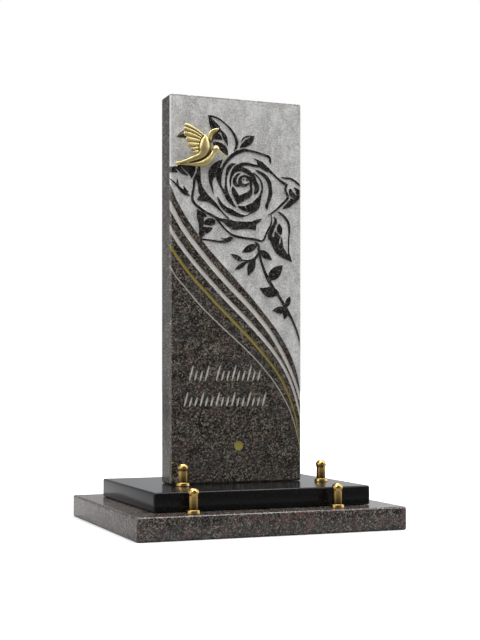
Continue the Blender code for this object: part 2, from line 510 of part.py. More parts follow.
def limb(name, knots, flatness, steps=2, sides_level=2):
    """A round, tapering limb of the bird along its knots, squeezed towards the stone by flatness."""
    points = smooth_curve(knots, steps)
    curve = bpy.data.curves.new(name, "CURVE")
    curve.dimensions = "3D"
    curve.bevel_depth = 1
    curve.bevel_resolution = sides_level
    curve.use_fill_caps = True
    spline = curve.splines.new("POLY")
    spline.points.add(len(points) - 1)
    mean_lift = points[:, 2].mean()
    for point, (across, up, lift, radius) in zip(spline.points, points):
        point.co = (across, (mean_lift - lift) / flatness, up, 1)
        point.radius = max(radius, FINEST_LIMB)
    guide = bpy.data.objects.new(name, curve)
    bpy.context.scene.collection.objects.link(guide)
    mesh = meshed(guide)
    for vert in mesh.vertices:
        vert.co = bird_place(vert.co.x, vert.co.z, mean_lift - vert.co.y * flatness)
    return mesh


def bird_place(across, up, lift):
    """A point of the bird in the part's frame: its place on the face and how far it stands off it."""
    middle_x, middle_z = face_place(*BIRD_MIDDLE)
    x = middle_x + (across - BIRD_MIDDLE[0]) * MM
    z = middle_z + (up - BIRD_MIDDLE[1]) * MM
    return x, STELE_FRONT - JOINT - lift * MM, z


def feather_knots(index):
    """A feather's blade: narrow at its root, full at three quarters, and round at its tip."""
    (root_across, root_up), (tip_across, tip_up), width, arch = BIRD_FEATHERS[index]
    lift_drop = FEATHER_LIFT_DROP * index
    for share, fullness in FEATHER_BLADE:
        yield (root_across + share * (tip_across - root_across),
               root_up + share * (tip_up - root_up) + arch * math.sin(math.pi * share),
               FEATHER_ROOT_LIFT + share * (FEATHER_TIP_LIFT - FEATHER_ROOT_LIFT) - lift_drop,
               width / 2 * fullness)


def make_bird(parts, cutters, material):
    """The bird's limbs, joined to one casting that is flat where it is fixed to the stone."""
    bird = add_object("bird", limb("bird", BIRD_BODY, BODY_FLATNESS, sides_level=4), parts, material)
    limbs = bpy.data.collections.new("bird limbs")
    cutters.children.link(limbs)
    add_cutter("beak", limb("beak", BIRD_BEAK, BEAK_FLATNESS), limbs)
    add_cutter("mantle", limb("mantle", BIRD_MANTLE, MANTLE_FLATNESS, sides_level=3), limbs)
    add_cutter("nape", limb("nape", BIRD_NAPE, NAPE_FLATNESS), limbs)
    add_cutter("far wing", limb("far wing", BIRD_FAR_WING, FAR_WING_FLATNESS), limbs)
    for i in range(len(BIRD_FEATHERS)):
        blade = limb("feather", list(feather_knots(i)), FEATHER_FLATNESS, steps=1)
        add_cutter(f"feather {i + 1}", blade, limbs)
    join = bird.modifiers.new("limbs", "BOOLEAN")
    join.operation = "UNION"
    join.solver = "EXACT"
    join.operand_type = "COLLECTION"
    join.collection = limbs
    mesh = bpy.data.meshes.new("bird back")
    shape = bmesh.new()
    bmesh.ops.create_cube(shape, size=1)
    bmesh.ops.scale(shape, vec=(STELE_WIDTH, STELE_THICKNESS, STELE_HEIGHT), verts=shape.verts)
    shape.to_mesh(mesh)
    shape.free()
    back = add_cutter("bird back", mesh, cutters)
    back.location = (0, STELE_FRONT - JOINT + STELE_THICKNESS / 2, STELE_Z + STELE_HEIGHT / 2)
    cut(bird, back)
    bird.data.shade_smooth()
    return bird


def post_profile(height):
    """Radius and height down the outside of a post: dome, rim, taper, shaft and coned flange."""
    dome_foot = height - POST_DOME_HEIGHT
    rim_foot = dome_foot - POST_RIM_HEIGHT
    profile = [(POST_CAP_RADIUS * math.sin(a), dome_foot + POST_DOME_HEIGHT * math.cos(a))
               for a in np.linspace(0, math.pi / 2, POST_DOME_STEPS)]
    profile.append((POST_CAP_RADIUS, rim_foot))
    profile.append((POST_SHAFT_RADIUS, rim_foot - POST_TAPER_HEIGHT))
    profile.append((POST_SHAFT_RADIUS, POST_FLANGE_HEIGHT))
    profile.append((POST_FLANGE_RADIUS - POST_LIP, POST_FLANGE_HEIGHT))
    profile.append((POST_FLANGE_RADIUS, POST_SKIRT_HEIGHT))
    profile.append((POST_FLANGE_RADIUS, 0))
    profile.append((0, 0))
    return profile


def make_post(name, place, height, parts, material):
    profile = post_profile(height)
    mesh = bpy.data.meshes.new(name)
    edges = [(i, i + 1) for i in range(len(profile) - 1)]
    mesh.from_pydata([(radius, 0, height) for radius, height in profile], edges, [])
    post = add_object(name, mesh, parts, material)
    post.location = place
    turned = post.modifiers.new("turned", "SCREW")
    turned.steps = POST_SIDES
    turned.render_steps = POST_SIDES
    turned.use_merge_vertices = True
    turned.merge_threshold = 0.01 * MM
    turned.use_smooth_shade = True
    return post


def post_places():
    """Where each post stands, from the slab it stands on and the one it stands before, and its height."""
    base_row = -PLINTH_DEPTH / 2 - POST_FLANGE_RADIUS - BASE_POST_CLEARANCE
    plinth_row = STELE_FRONT - POST_FLANGE_RADIUS - PLINTH_POST_CLEARANCE
    base_left = BASE_POST_LEFT_INSET - PLINTH_WIDTH / 2
    base_right = PLINTH_WIDTH / 2 - BASE_POST_RIGHT_INSET
    plinth_left = PLINTH_POST_LEFT_INSET - STELE_WIDTH / 2
    plinth_right = STELE_WIDTH / 2 + PLINTH_POST_RIGHT_OUTSET
    return {
        "base_post_left": ((base_left, base_row, PLINTH_Z), BASE_POST_HEIGHT),
        "base_post_right": ((base_right, base_row, PLINTH_Z), BASE_POST_HEIGHT),
        "plinth_post_left": ((plinth_left, plinth_row, STELE_Z), PLINTH_POST_HEIGHT),
        "plinth_post_right": ((plinth_right, plinth_row, STELE_Z), PLINTH_POST_HEIGHT),
    }


def main():
    start_empty()
    parts = new_collection("granite grave plaque")
    cutters = new_collection("cutters")
    base_stone = make_material("base_granite", (0.16, 0.14, 0.13), 0.15)
    black_stone = make_material("black_granite", (0.012, 0.012, 0.013), 0.08)
    stele_stone = make_material("stele_granite", (0.09, 0.08, 0.075), 0.2)
    gilded = make_material("gilded_bronze", (0.75, 0.58, 0.26), 0.3, 1.0)
    brass = make_material("turned_brass", (0.62, 0.47, 0.2), 0.25, 1.0)

    slab("base_plate", BASE_WIDTH, BASE_DEPTH, BASE_THICKNESS, 0, parts, base_stone)
    slab("plinth_plate", PLINTH_WIDTH, PLINTH_DEPTH, PLINTH_THICKNESS, PLINTH_Z, parts, black_stone)
    stele = slab("stele", STELE_WIDTH, STELE_THICKNESS, STELE_HEIGHT, STELE_Z, parts, stele_stone)
    cut(stele, carving_cutter(cutters))
    make_bird(parts, cutters, gilded)
    for name, (place, height) in post_places().items():
        make_post(name, place, height, parts, brass)


main()
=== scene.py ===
"""The looks of a granite grave plaque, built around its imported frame.

A carved stele with a gilded hummingbird stands on a plate of black granite, which lies on a plate of
brown granite, with four turned brass posts. All of it is in metres, with the carved face towards -Y.
"""
import logging
import math
from dataclasses import dataclass, field, replace
from enum import IntEnum

import bmesh
import bpy
import numpy as np
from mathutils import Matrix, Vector
from mathutils.geometry import delaunay_2d_cdt


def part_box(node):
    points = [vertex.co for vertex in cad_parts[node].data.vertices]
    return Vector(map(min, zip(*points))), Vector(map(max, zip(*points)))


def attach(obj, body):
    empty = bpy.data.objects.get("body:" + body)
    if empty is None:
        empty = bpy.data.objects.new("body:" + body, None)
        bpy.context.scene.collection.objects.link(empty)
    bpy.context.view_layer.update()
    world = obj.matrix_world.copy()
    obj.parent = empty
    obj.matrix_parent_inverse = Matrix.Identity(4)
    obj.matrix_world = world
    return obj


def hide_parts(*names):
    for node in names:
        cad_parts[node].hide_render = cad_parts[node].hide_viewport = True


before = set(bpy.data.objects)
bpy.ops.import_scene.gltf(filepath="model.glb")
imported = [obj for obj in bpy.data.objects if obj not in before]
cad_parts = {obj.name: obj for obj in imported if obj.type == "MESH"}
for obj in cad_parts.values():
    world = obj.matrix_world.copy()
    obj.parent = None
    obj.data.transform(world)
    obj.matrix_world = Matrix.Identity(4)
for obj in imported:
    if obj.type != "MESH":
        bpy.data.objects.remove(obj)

LOG = logging.getLogger("plaque")
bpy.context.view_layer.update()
MM = 0.001
BODY = "root"
Knots = tuple[tuple[float, ...], ...]

# The gap between pieces, as in the solids
JOINT = 0.3 * MM
# Points nearer than this are one point
TOUCH = 0.002 * MM

# Strokes of the carving have knots of (across, up, width) on a stencil, in millimetres.
# The stencil was drawn for this size of face, and its corner lies at this place on it.
STENCIL_SIZE = (182, 497)
STENCIL_CORNER = (-2.1, -0.7)

# The blasted ground's lower edge, from the left edge of the stone to the right
GROUND_EDGE = ((-4, 398), (3, 381), (10, 364.8), (20, 347.3), (32, 330), (47.5, 310), (66, 290),
               (95.5, 260), (114.5, 240), (132, 220), (148, 200.5), (160, 183), (167.5, 170),
               (174, 155.5), (179, 139), (183, 118), (187, 92))
GROUND_CORNERS = ((187, 503), (-4, 503))

BLASTED_BANDS = {
    "broad band": ((-4, 368, 6.2), (5, 351, 6.2), (20, 326.5, 6.2), (50, 290, 6.4), (80, 258.3, 6.4),
                   (110, 229.5, 5.9), (139.7, 196, 5.4), (159.4, 164.6, 4.8), (171.3, 140.6, 4.2),
                   (179.4, 119.7, 3.6), (187, 94, 3)),
    "narrow band": ((-4, 338, 5), (6, 320, 5), (20.5, 300, 5), (47, 270, 5.2), (76.5, 240, 5.2),
                    (108, 210, 5.2), (137.2, 179.7, 4.8), (153, 159.6, 4.4), (165.2, 139.6, 3.9),
                    (173.4, 119.7, 3.3), (179.4, 99.8, 2.7), (186.5, 70, 2)),
    "thread": ((-4, 289, 1.6), (2, 278.5, 1.6), (9, 266.5, 1.6), (24, 250, 1.6), (42, 230, 1.6),
               (63.5, 210, 1.6), (86.5, 190, 1.6), (109.5, 170, 1.5), (129.7, 149.8, 1.5),
               (146.5, 129.8, 1.4), (159.5, 109.9, 1.3), (169.6, 90, 1.2), (176.2, 70, 1.1), (185, 36, 1)),
}
GILDED_BAND = ((-4, 315, 3.6), (3, 302.5, 3.7), (12, 290, 3.8), (28, 270, 3.8), (57, 240, 3.9),
               (89, 209, 3.9), (118.8, 179.8, 3.7), (145, 149.7, 3.2), (158.4, 129.7, 2.9),
               (167.9, 109.8, 2.6), (174.8, 89.9, 2.2), (179.1, 70, 1.8), (185, 40, 1.2))

ROSE = {
    "outer petal": ((70.5, 397, 3), (72, 404, 3), (76, 412, 3), (81, 418.5, 3.5), (88, 425, 4),
                    (96, 429.5, 4), (104, 432, 3.2), (113, 431.5, 2.2), (125, 429.3, 1.8),
                    (134, 427, 2.2), (139, 424.3, 2.8), (140, 420, 2.2), (141, 416, 0.4)),
    "left fold": ((73.5, 418, 0.4), (68, 412.5, 6), (62.5, 405.5, 10), (59, 398, 10), (57, 390, 4.5),
                  (58.5, 382, 2.4), (61, 373, 0.4)),
    "left fold back": ((67, 407, 6), (68, 399, 8), (68.5, 392, 6), (70, 385.5, 3.2), (73, 380, 2.2),
                       (77, 374, 4)),
    "second petal": ((92.5, 413.8, 0.4), (86.5, 412, 3), (82, 407.3, 4.6), (79.5, 401, 3),
                     (78.2, 394, 2), (77.8, 386, 2.2), (78, 379, 4), (79.5, 372, 6), (83, 366.5, 5.5),
                     (87.5, 361, 3.2), (92, 357, 0.4)),
    "third petal": ((84.5, 383.5, 1), (84, 390, 2), (85, 396, 2.4), (87.5, 402, 4.5), (91.5, 407, 6.5),
                    (96, 411, 5), (102, 413.8, 3.6), (108, 414.4, 3), (115, 413.3, 2.6), (124, 412, 2.4)),
    "third petal lining": ((89, 404, 4), (94, 406.3, 5), (100, 407, 5), (106, 405.3, 5.5),
                           (112, 402, 5.2), (117, 397.7, 3), (121, 392.5, 0.4)),
    "turned rim": ((116.5, 422.3, 0.4), (121, 420, 1.8), (125.5, 415.8, 7), (130.5, 412, 7.2),
                   (136, 408.7, 5.5), (140.5, 406, 3), (145, 402.5, 2), (150, 398.3, 2),
                   (155, 394.8, 2.4), (160, 391.8, 3), (165, 390.2, 1.6)),
    "right petal": ((119, 407.2, 0.4), (124, 404.8, 3), (130, 401.8, 4), (135, 397.5, 4.5),
                    (138.3, 392, 5), (139.8, 385, 4.4), (140.2, 378, 5), (138.5, 371, 4.2),
                    (136.3, 365, 3.2), (134.8, 360.5, 3.8), (135.8, 356, 0.4)),
    "inner rim": ((115, 403.5, 2), (119.5, 401, 1.4), (124, 397, 1.6), (127.3, 392, 2), (128.6, 386, 2),
                  (128, 380, 2.2), (126, 374.5, 2.6), (124.5, 369, 4)),
    "bowl right": ((124.8, 373, 1.5), (122.8, 367.5, 7), (120, 362, 10.5), (116.5, 357.3, 10),
                   (113.5, 352.8, 4.5), (110.5, 349.7, 1.2), (106.5, 347.6, 0.9), (103, 347, 1)),
    "bowl left": ((94, 358.9, 0.4), (99, 357.2, 3.8), (105, 356, 7), (111, 357, 10), (117, 359, 11)),
    "cup left": ((87.3, 384, 0.6), (88.3, 379.5, 5), (91.5, 373, 6.5), (94.5, 367.5, 7), (94.8, 361, 1)),
    "cup right": ((94.3, 363.5, 3), (98.5, 368.2, 8), (104, 371.8, 7.6), (110, 375.2, 6.5),
                  (112.8, 381, 3.4), (112.8, 386.5, 2.6), (112.4, 391.5, 3), (110.6, 395, 3.4),
                  (107, 397.7, 2.8), (103, 398.5, 2), (99.2, 396.9, 2.6), (97.2, 393, 4.2),
                  (98, 388.6, 5), (101.5, 386.6, 4), (105.5, 386.8, 3), (109, 388.6, 1.6),
                  (110.6, 390, 0.4)),
    "heart left": ((98.6, 402, 0.4), (94.5, 399.4, 2.8), (91.3, 395, 4.6), (90, 390, 4.8),
                   (91.5, 386.8, 4), (97, 385.7, 3)),
    "heart right": ((107.5, 398.2, 1), (112.5, 395.8, 3), (117.3, 392, 4.5), (120.3, 387.5, 6),
                    (121, 382.5, 6), (119, 378, 4), (117, 375.8, 0.5)),
    "left stamen": ((101.2, 393.4, 0.8), (102.5, 393.8, 1.6), (103.6, 394, 0.6)),
    "right stamen": ((105.5, 394.2, 0.8), (107, 393.4, 1.6), (108.4, 392.4, 0.6)),
    "lower petal": ((66, 370, 0.4), (69, 364, 3), (73, 358.5, 4), (79, 353.8, 5.6), (86, 350.8, 6.6),
                    (92, 348.3, 5), (98, 346.9, 3.4), (104.5, 346.5, 1)),
    "left petal": ((41, 408, 2), (40.7, 400, 4.6), (40.3, 392, 5.6), (42.3, 383, 5), (45, 375, 8.4),
                   (50.6, 368, 8.2), (58, 363.5, 5.6), (64, 358.5, 4), (70, 352.8, 1.6),
                   (76, 347, 1.3), (82, 342, 1.5)),
    "left petal fold": ((38.8, 364.6, 1.5), (44, 366.5, 6.5), (50, 366, 6), (56, 364.5, 4)),
    "left petal rim": ((37.5, 399, 0.4), (35, 390, 3), (34, 380, 2.2), (32.3, 371, 2.6), (32.3, 364, 3),
                       (35.5, 359, 3), (41.5, 354.4, 2.6), (50, 349, 2.6), (60, 344.8, 2.6),
                       (68, 341, 3), (78, 339, 2)),
    "bottom petal": ((66, 341.5, 2.5), (74, 339.6, 4), (82, 336.4, 9), (90, 333.8, 10.5),
                     (98, 334.2, 9.6), (106, 334.6, 8.8), (114, 334.8, 9.6), (120.3, 334.2, 10.5)),
    "bottom petal end": ((114, 337, 5), (120, 339.5, 5), (124, 341.7, 3), (128, 344, 0.4)),
    "bottom petal rim": ((64, 342, 2.5), (70, 335.6, 2), (78, 327.5, 1.7), (86, 321.8, 2),
                         (94, 319.4, 2.2), (104, 318, 2.2), (114, 317.2, 2.4), (122, 316, 2.2),
                         (127, 315, 1.8), (131, 317, 2), (133, 322, 2), (137, 330, 2), (140.5, 336, 2),
                         (141.8, 342.5, 1.4), (141.3, 350.5, 0.8)),
    "right rim": ((164, 391, 2), (161.8, 387.5, 2.6), (162, 382.5, 2.6), (163.8, 378, 2.6),
                  (165, 374, 2.8), (162, 369.5, 2.6), (156, 363.8, 2.2), (150, 358.2, 1.8),
                  (144, 353.6, 1.5), (136.5, 348.8, 0.6)),
}

LEAVES = {
    "crown line": ((53.3, 473.3, 1), (58, 472.7, 1.8), (66, 471, 1.5), (75, 466, 1.4), (84, 458.3, 2),
                   (90, 450, 3), (93, 441.5, 3.6), (91.8, 434.5, 2.6), (89, 430, 0.4)),
    "crown blade": ((54, 473.4, 0.6), (57, 468, 5), (60.5, 462, 9.5), (64, 457, 12), (68, 453, 8)),
    "crown right": ((69, 455.4, 3), (72.6, 452.8, 3), (76, 447.8, 5.5), (78.2, 441.4, 4),
                    (80.3, 434.6, 0.4)),
    "crown middle": ((60, 448, 7), (66, 447.5, 8), (70.5, 445.5, 4.5), (72.5, 443, 0.5)),
    "crown foot": ((60, 438, 3), (67, 437, 6), (73, 433.5, 8.5), (77.5, 428.5, 6.5), (80.5, 424, 0.5)),
    "bud leaf": ((97, 435, 0.4), (102, 438.2, 5), (107, 441.5, 7.6), (112, 445.2, 6.6), (117.8, 450.8, 0.6)),
    "bud leaf rim": ((99.3, 441.6, 0.4), (101.2, 446, 1.3), (105, 449, 1.5), (110, 450.6, 1.4),
                     (117.8, 451, 0.8)),
    "side tip": ((11, 443.3, 0.4), (16, 444.3, 2.6), (22, 445.3, 5), (27, 446, 5)),
    "side tip rim": ((11, 443.3, 0.4), (15, 447, 1), (21, 451.5, 1)),
    "left lobe one": ((-4, 401.5, 7), (3, 401, 7), (7.5, 400, 4.5), (12, 398, 0.5)),
    "left lobe two": ((6, 404.5, 1), (12, 402.5, 5), (19, 399, 5), (26.5, 394.7, 0.4)),
    "left lobe three": ((12, 406, 2), (20, 405, 5), (27, 402, 9.5), (30.5, 397, 5.5), (31, 391, 0.4)),
    "left lobe four": ((26, 406, 4), (33, 405.5, 5), (34, 400, 5), (32, 394, 1)),
    "thorn stem": ((1, 390.5, 0.6), (8, 384.5, 1.6), (15, 378, 3), (22, 372.3, 4.2), (28.8, 369, 0.5)),
    "upper thorn": ((12, 390, 0.4), (12, 385.5, 1.6), (12, 381, 3)),
    "lower thorn": ((20, 381.3, 0.4), (22, 377, 2.4), (25, 372.5, 4)),
    "low leaf spine": ((38.7, 352.3, 0.4), (41.8, 346, 7.5), (43.5, 339, 8), (43.8, 331, 5.4),
                       (43.6, 324, 4), (42.5, 314, 5)),
    "low leaf shoulder": ((42, 348, 4), (47, 345.3, 4.5), (52, 343.8, 0.6)),
    "low leaf egg": ((47.7, 334.5, 3), (53, 336.4, 8), (58.5, 337, 8.6), (63.4, 336.6, 4)),
    "low leaf third": ((43.5, 327, 5.5), (49, 326, 8), (54, 326.7, 6.4), (59.6, 329.8, 0.4)),
    "low leaf fourth": ((41, 318, 5), (45, 319.3, 4), (49.2, 320.3, 0.4)),
    "low tendril": ((42, 314.4, 1.6), (50, 313.8, 1.6), (60, 312.9, 1.8), (70, 312, 2), (77, 312.7, 3),
                    (83, 315.3, 4.2), (87.8, 317.5, 1)),
    "low tendril tip": ((71.3, 316.5, 0.4), (76, 315.6, 1.2), (81, 316.8, 1.8), (86, 318.2, 2)),
    "right leaf line": ((155.3, 399.9, 0.4), (161, 399.3, 1.5), (168, 398.9, 1.9), (174, 396.6, 2),
                        (179, 393.2, 2), (186, 388, 1.4)),
    "right leaf": ((157.3, 358.8, 0.4), (164, 362.6, 4.6), (170, 367.8, 7), (175.5, 373.5, 8.5),
                   (180.5, 379, 8), (186, 383, 5)),
    "right leaf lobe": ((168, 385.3, 1.6), (169.5, 380.6, 5.6), (173, 376, 6.5), (176, 372, 6)),
    "right leaf tip": ((173.6, 387.7, 0.6), (177.5, 384.6, 3.6), (182, 381.5, 6), (187, 380, 7)),
    "hanging line": ((151, 354.6, 0.6), (155, 352, 2), (160, 348, 2.6), (164.6, 342.3, 3),
                     (166.7, 336, 2.8), (167, 329, 2), (166.3, 319, 1.4), (166, 309, 1.4),
                     (166.3, 301, 1.6), (168, 295, 2), (170.8, 289, 0.4)),
    "hanging lobe": ((145.3, 347.6, 0.4), (147.6, 342.3, 3.6), (145.2, 336, 4), (142.3, 330, 4.8),
                     (139.6, 323.5, 5.5), (141, 318, 7)),
    "hanging egg": ((152.3, 338.4, 2), (153, 333.5, 6.6), (153.6, 328.5, 6.8), (155.6, 324.4, 1.5)),
    "hanging middle": ((147.3, 328.5, 0.8), (148.6, 324, 5.6), (149, 318, 8), (149, 311, 9)),
    "hanging cheek": ((150.5, 323.5, 3), (153.5, 321.8, 2.5), (150, 318, 5)),
    "hanging spike": ((155.9, 321.5, 0.4), (156.3, 314.5, 2.4), (156, 307.5, 5), (156, 301, 8)),
    "hanging body": ((139.6, 321, 4), (144.4, 316, 8.4), (149.1, 310, 11.6), (153.8, 303.8, 12.5),
                     (160, 298, 8.5), (165.5, 293.8, 4.6), (170.8, 289, 0.4)),
    "stem": ((117.3, 313.2, 0.4), (120.5, 311.8, 2.4), (123.2, 309, 3.2), (123.6, 303, 3),
             (124.8, 297, 3), (126.6, 290, 2.8), (129, 283, 2.8), (132, 275.3, 3.2), (136, 267, 4),
             (140.3, 260, 4), (145, 252.7, 4), (149.6, 247, 3.2), (153.2, 242, 2.8),
             (157.8, 235.3, 3.4), (162, 228, 4), (167, 220, 3.4), (171.5, 212.6, 2.4),
             (175.5, 204, 2.2), (179, 195, 2), (182, 185, 1.6), (184.5, 170, 0.6)),
    "side stem": ((123.6, 300, 2.4), (120, 293.6, 3), (116, 290, 3.4), (110, 289, 1.4), (100, 289.2, 1.2)),
    "second side stem": ((113, 289.5, 1.6), (109, 287.6, 1.6), (104, 285.5, 1.8)),
    "half leaf": ((125, 253.7, 0.4), (130, 251, 6.3), (136, 249, 12.3), (142, 248.7, 13),
                  (148, 247.5, 8.5), (152, 244.8, 3)),
}

# Plain leaves of the branch: (across, up) of the base, (across, up) of the tip, width
BRANCH_LEAVES = (
    ((121.5, 309.8), (100.2, 299.6), 9.5),
    ((124.5, 302.5), (142.5, 291), 9.5),
    ((101.5, 288.3), (84.4, 296.7), 6.5),
    ((106.5, 286.8), (90.2, 276.2), 6),
    ((117.5, 292), (108.6, 269.2), 10.5),
    ((137.5, 264.4), (157.7, 284.5), 14.5),
    ((162.2, 229), (168.2, 244), 7.6),
    ((162.5, 226), (143.4, 224.9), 10),
    ((163.6, 228), (160, 213.5), 8),
)

# Light veins blasted through the leaves and petals
VEINS = {
    "crown vein": ((70.5, 454, 0.4), (72, 448.5, 1), (74.3, 443.5, 1.1), (78, 438.5, 1), (81, 434, 0.6)),
    "crown foot vein": ((62, 442.3, 0.4), (68, 441.8, 1.3), (74, 440, 1.4), (78, 436.5, 1.2), (81, 432, 1)),
    "hanging vein": ((152, 339.5, 0.4), (148.6, 334.5, 1.5), (146, 328.5, 1.3), (144.2, 323.5, 1.1),
                     (143.2, 320.5, 0.4)),
    "egg vein": ((147.8, 328.6, 0.4), (150.6, 325.4, 1), (153.5, 323.6, 1), (156, 323.6, 0.8)),
    "spike vein": ((154.9, 322, 0.6), (153.9, 317.5, 1.6), (152.6, 311, 0.4)),
    "right leaf vein": ((169.8, 385.8, 0.4), (173, 383.6, 1.3), (175.6, 379.8, 1.2), (177.5, 376.8, 0.4)),
    "right leaf notch": ((165.5, 374.8, 0.6), (170.5, 373.5, 1.4), (174.5, 371.5, 0.4)),
    "left lobe vein": ((9, 403, 0.4), (12.5, 399.6, 1.4), (16, 396.5, 1)),
    "second left lobe vein": ((17.5, 404.8, 0.4), (22, 400.2, 1.3), (27, 395.8, 1.3), (31.5, 389.5, 0.8)),
    "left petal vein": ((38, 389, 0.4), (38.2, 381, 2.4), (37.6, 372, 3.2), (37, 364, 3)),
    "left petal gap": ((37.8, 406, 2), (36.5, 400, 2), (33.5, 393, 1.4)),
    "left fold notch": ((61, 395, 0.4), (62.3, 390, 3), (63.5, 384, 4)),
    "heart gleam": ((92, 389.5, 0.4), (93.4, 393.5, 0.9), (95.2, 397.4, 1), (98, 400.3, 1)),
    "bowl gleam": ((104, 360.4, 0.4), (105.3, 358.3, 1), (106.6, 356.3, 0.4)),
    "low leaf vein": ((47.3, 337.5, 0.4), (49.7, 341.3, 1), (54, 342.3, 1)),
    "bottom petal vein": ((71.5, 337, 0.4), (75.5, 333.6, 1.3), (80, 329.8, 1.4)),
}

# The gilded disc: (across, up) of its centre, and its diameter
DISC_CENTRE = (95.5, 49)
DISC_DIAMETER = 12.5


def linear(hex_colour: str) -> tuple[float, float, float, float]:
    """Turns an sRGB hex value into linear red, green, blue and alpha.

    Args:
        hex_colour: six hex digits, such as "8a7f76".

    Returns:
        The linear colour, with alpha 1.
    """
    shares = np.array([int(hex_colour[i:i + 2], 16) for i in (0, 2, 4)]) / 255
    shares = np.where(shares <= 0.04045, shares / 12.92, ((shares + 0.055) / 1.055) ** 2.4)
    return (*shares.tolist(), 1.0)


def add_node(tree: bpy.types.NodeTree, kind: str, inputs: dict | None = None,
             stops: tuple[tuple[float, str], ...] = (), **settings: object) -> bpy.types.Node:
    """Adds a node to a tree, with its settings, its fixed inputs and its links.

    Args:
        tree: the node tree.
        kind: the node's type, without its "ShaderNode" start.
        inputs: each input's name or number, with its value or the output linked to it.
        stops: a colour ramp's stops, as places and sRGB hex colours.
        settings: the node's own settings.

    Returns:
        The new node.
    """
    node = tree.nodes.new("ShaderNode" + kind)
    for name, value in settings.items():
        setattr(node, name, value)
    for name, value in (inputs or {}).items():
        if isinstance(value, bpy.types.NodeSocket):
            tree.links.new(value, node.inputs[name])
        else:
            node.inputs[name].default_value = value
    for i, (place, colour) in enumerate(stops):
        ramp = node.color_ramp.elements
        stop = ramp[i] if i < 2 else ramp.new(place)
        stop.position, stop.color = place, linear(colour)
    return node


@dataclass(frozen=True)
class Finish:
    """A material's name and the values set on its shader's own sockets."""

    name: str
    roughness: float
    ior: float = 1.5
    metallic: float = 0.0

    def start(self) -> tuple[bpy.types.Material, bpy.types.NodeTree, bpy.types.Node, bpy.types.NodeSocket]:
        """Makes the material with its shader.

        Returns:
            The material, its node tree, its shader and the place in object coordinates, in metres.
        """
        material = bpy.data.materials.new(self.name)
        material.use_nodes = True
        tree = material.node_tree
        shader = tree.nodes["Principled BSDF"]
        shader.inputs["Roughness"].default_value = self.roughness
        shader.inputs["Metallic"].default_value = self.metallic
        if not self.metallic:
            shader.inputs["IOR"].default_value = self.ior
        place = add_node(tree, "TexCoord").outputs["Object"]
        return material, tree, shader, place


@dataclass(frozen=True)
class PolishedGranite(Finish):
    """Multicoloured granite, sawn and polished: black mica between grains of grey and brown feldspar.

    The eye sees a peppering of 1 to 4 mm grains in cloudy patches, some warmer and pinker, some cooler,
    with a few bright quartz grains, all under a glassy surface that mirrors strongly at low angles.

    patch_swing is how far a patch lightens or darkens its grains, and blush is where in the noise a hue
    begins and is full. mica and feldspar are how bright the dark and the pale grains are, and
    mica_share is where the one ends and the other begins.
    """

    grains: tuple[tuple[float, str], ...] = ()
    grain_size: float = 1.9 * MM
    mica_size: float = 0.95 * MM
    patch_size: float = 17 * MM
    patch_swing: float = 1.1
    wobble: float = 0.9
    pink: str = "5e4944"
    pink_share: float = 0.35
    cool: str = "3d4444"
    cool_share: float = 0.4
    blush: tuple[float, float] = (0.5, 0.66)
    quartz: str = "a39b91"
    quartz_from: float = 0.97
    mica: float = 0.3
    mica_share: tuple[float, float] = (0.25, 0.55)
    feldspar: float = 1.15

    def build(self) -> bpy.types.Material:
        """Makes the material.

        Returns:
            The material.
        """
        material, tree, shader, place = self.start()
        wobble = add_node(tree, "TexNoise", {"Vector": place, "Scale": 0.5 / self.grain_size, "Detail": 2.0})
        reach = (self.wobble * self.grain_size,) * 3
        bent = add_node(tree, "VectorMath", {0: wobble.outputs["Color"], 1: reach, 2: place},
                        operation="MULTIPLY_ADD")
        cells = add_node(tree, "TexVoronoi", {"Vector": bent.outputs[0], "Scale": 1 / self.grain_size})
        pick = add_node(tree, "SeparateColor", {0: cells.outputs["Color"]})
        clouds = add_node(tree, "TexNoise", {"Vector": place, "Scale": 1 / self.patch_size, "Detail": 3.0,
                                             "Roughness": 0.6})
        tone = add_node(tree, "Math", {0: clouds.outputs["Fac"], 1: self.patch_swing,
                                       2: -self.patch_swing / 2}, operation="MULTIPLY_ADD")
        shifted = add_node(tree, "Math", {0: pick.outputs[0], 1: tone.outputs[0]}, operation="ADD")
        colour = add_node(tree, "ValToRGB", {0: shifted.outputs[0]}, stops=self.grains)
        last = colour.outputs[0]
        low, high = self.blush
        for seed, hue, share in ((3.0, self.pink, self.pink_share), (8.0, self.cool, self.cool_share)):
            blush = add_node(tree, "TexNoise", {"Vector": place, "Scale": 0.9 / self.patch_size,
                                                "Detail": 3.0, "W": seed}, noise_dimensions="4D")
            amount = add_node(tree, "MapRange", {0: blush.outputs["Fac"], 1: low, 2: high, 3: 0.0, 4: share})
            last = add_node(tree, "Mix", {0: amount.outputs[0], 6: last, 7: linear(hue)},
                            data_type="RGBA").outputs[2]
        flecks = add_node(tree, "TexVoronoi", {"Vector": bent.outputs[0], "Scale": 1 / self.mica_size})
        fleck = add_node(tree, "SeparateColor", {0: flecks.outputs["Color"]})
        low, high = self.mica_share
        darkness = add_node(tree, "MapRange", {0: fleck.outputs[0], 1: low, 2: high, 3: self.mica,
                                               4: self.feldspar})
        speckled = add_node(tree, "VectorMath", {0: last, "Scale": darkness.outputs[0]}, operation="SCALE")
        bright = add_node(tree, "MapRange", {0: fleck.outputs[1], 1: self.quartz_from, 2: 1.0, 3: 0.0,
                                             4: 1.0})
        final = add_node(tree, "Mix", {0: bright.outputs[0], 6: speckled.outputs[0], 7: linear(self.quartz)},
                         data_type="RGBA")
        tree.links.new(final.outputs[2], shader.inputs["Base Color"])
        return material


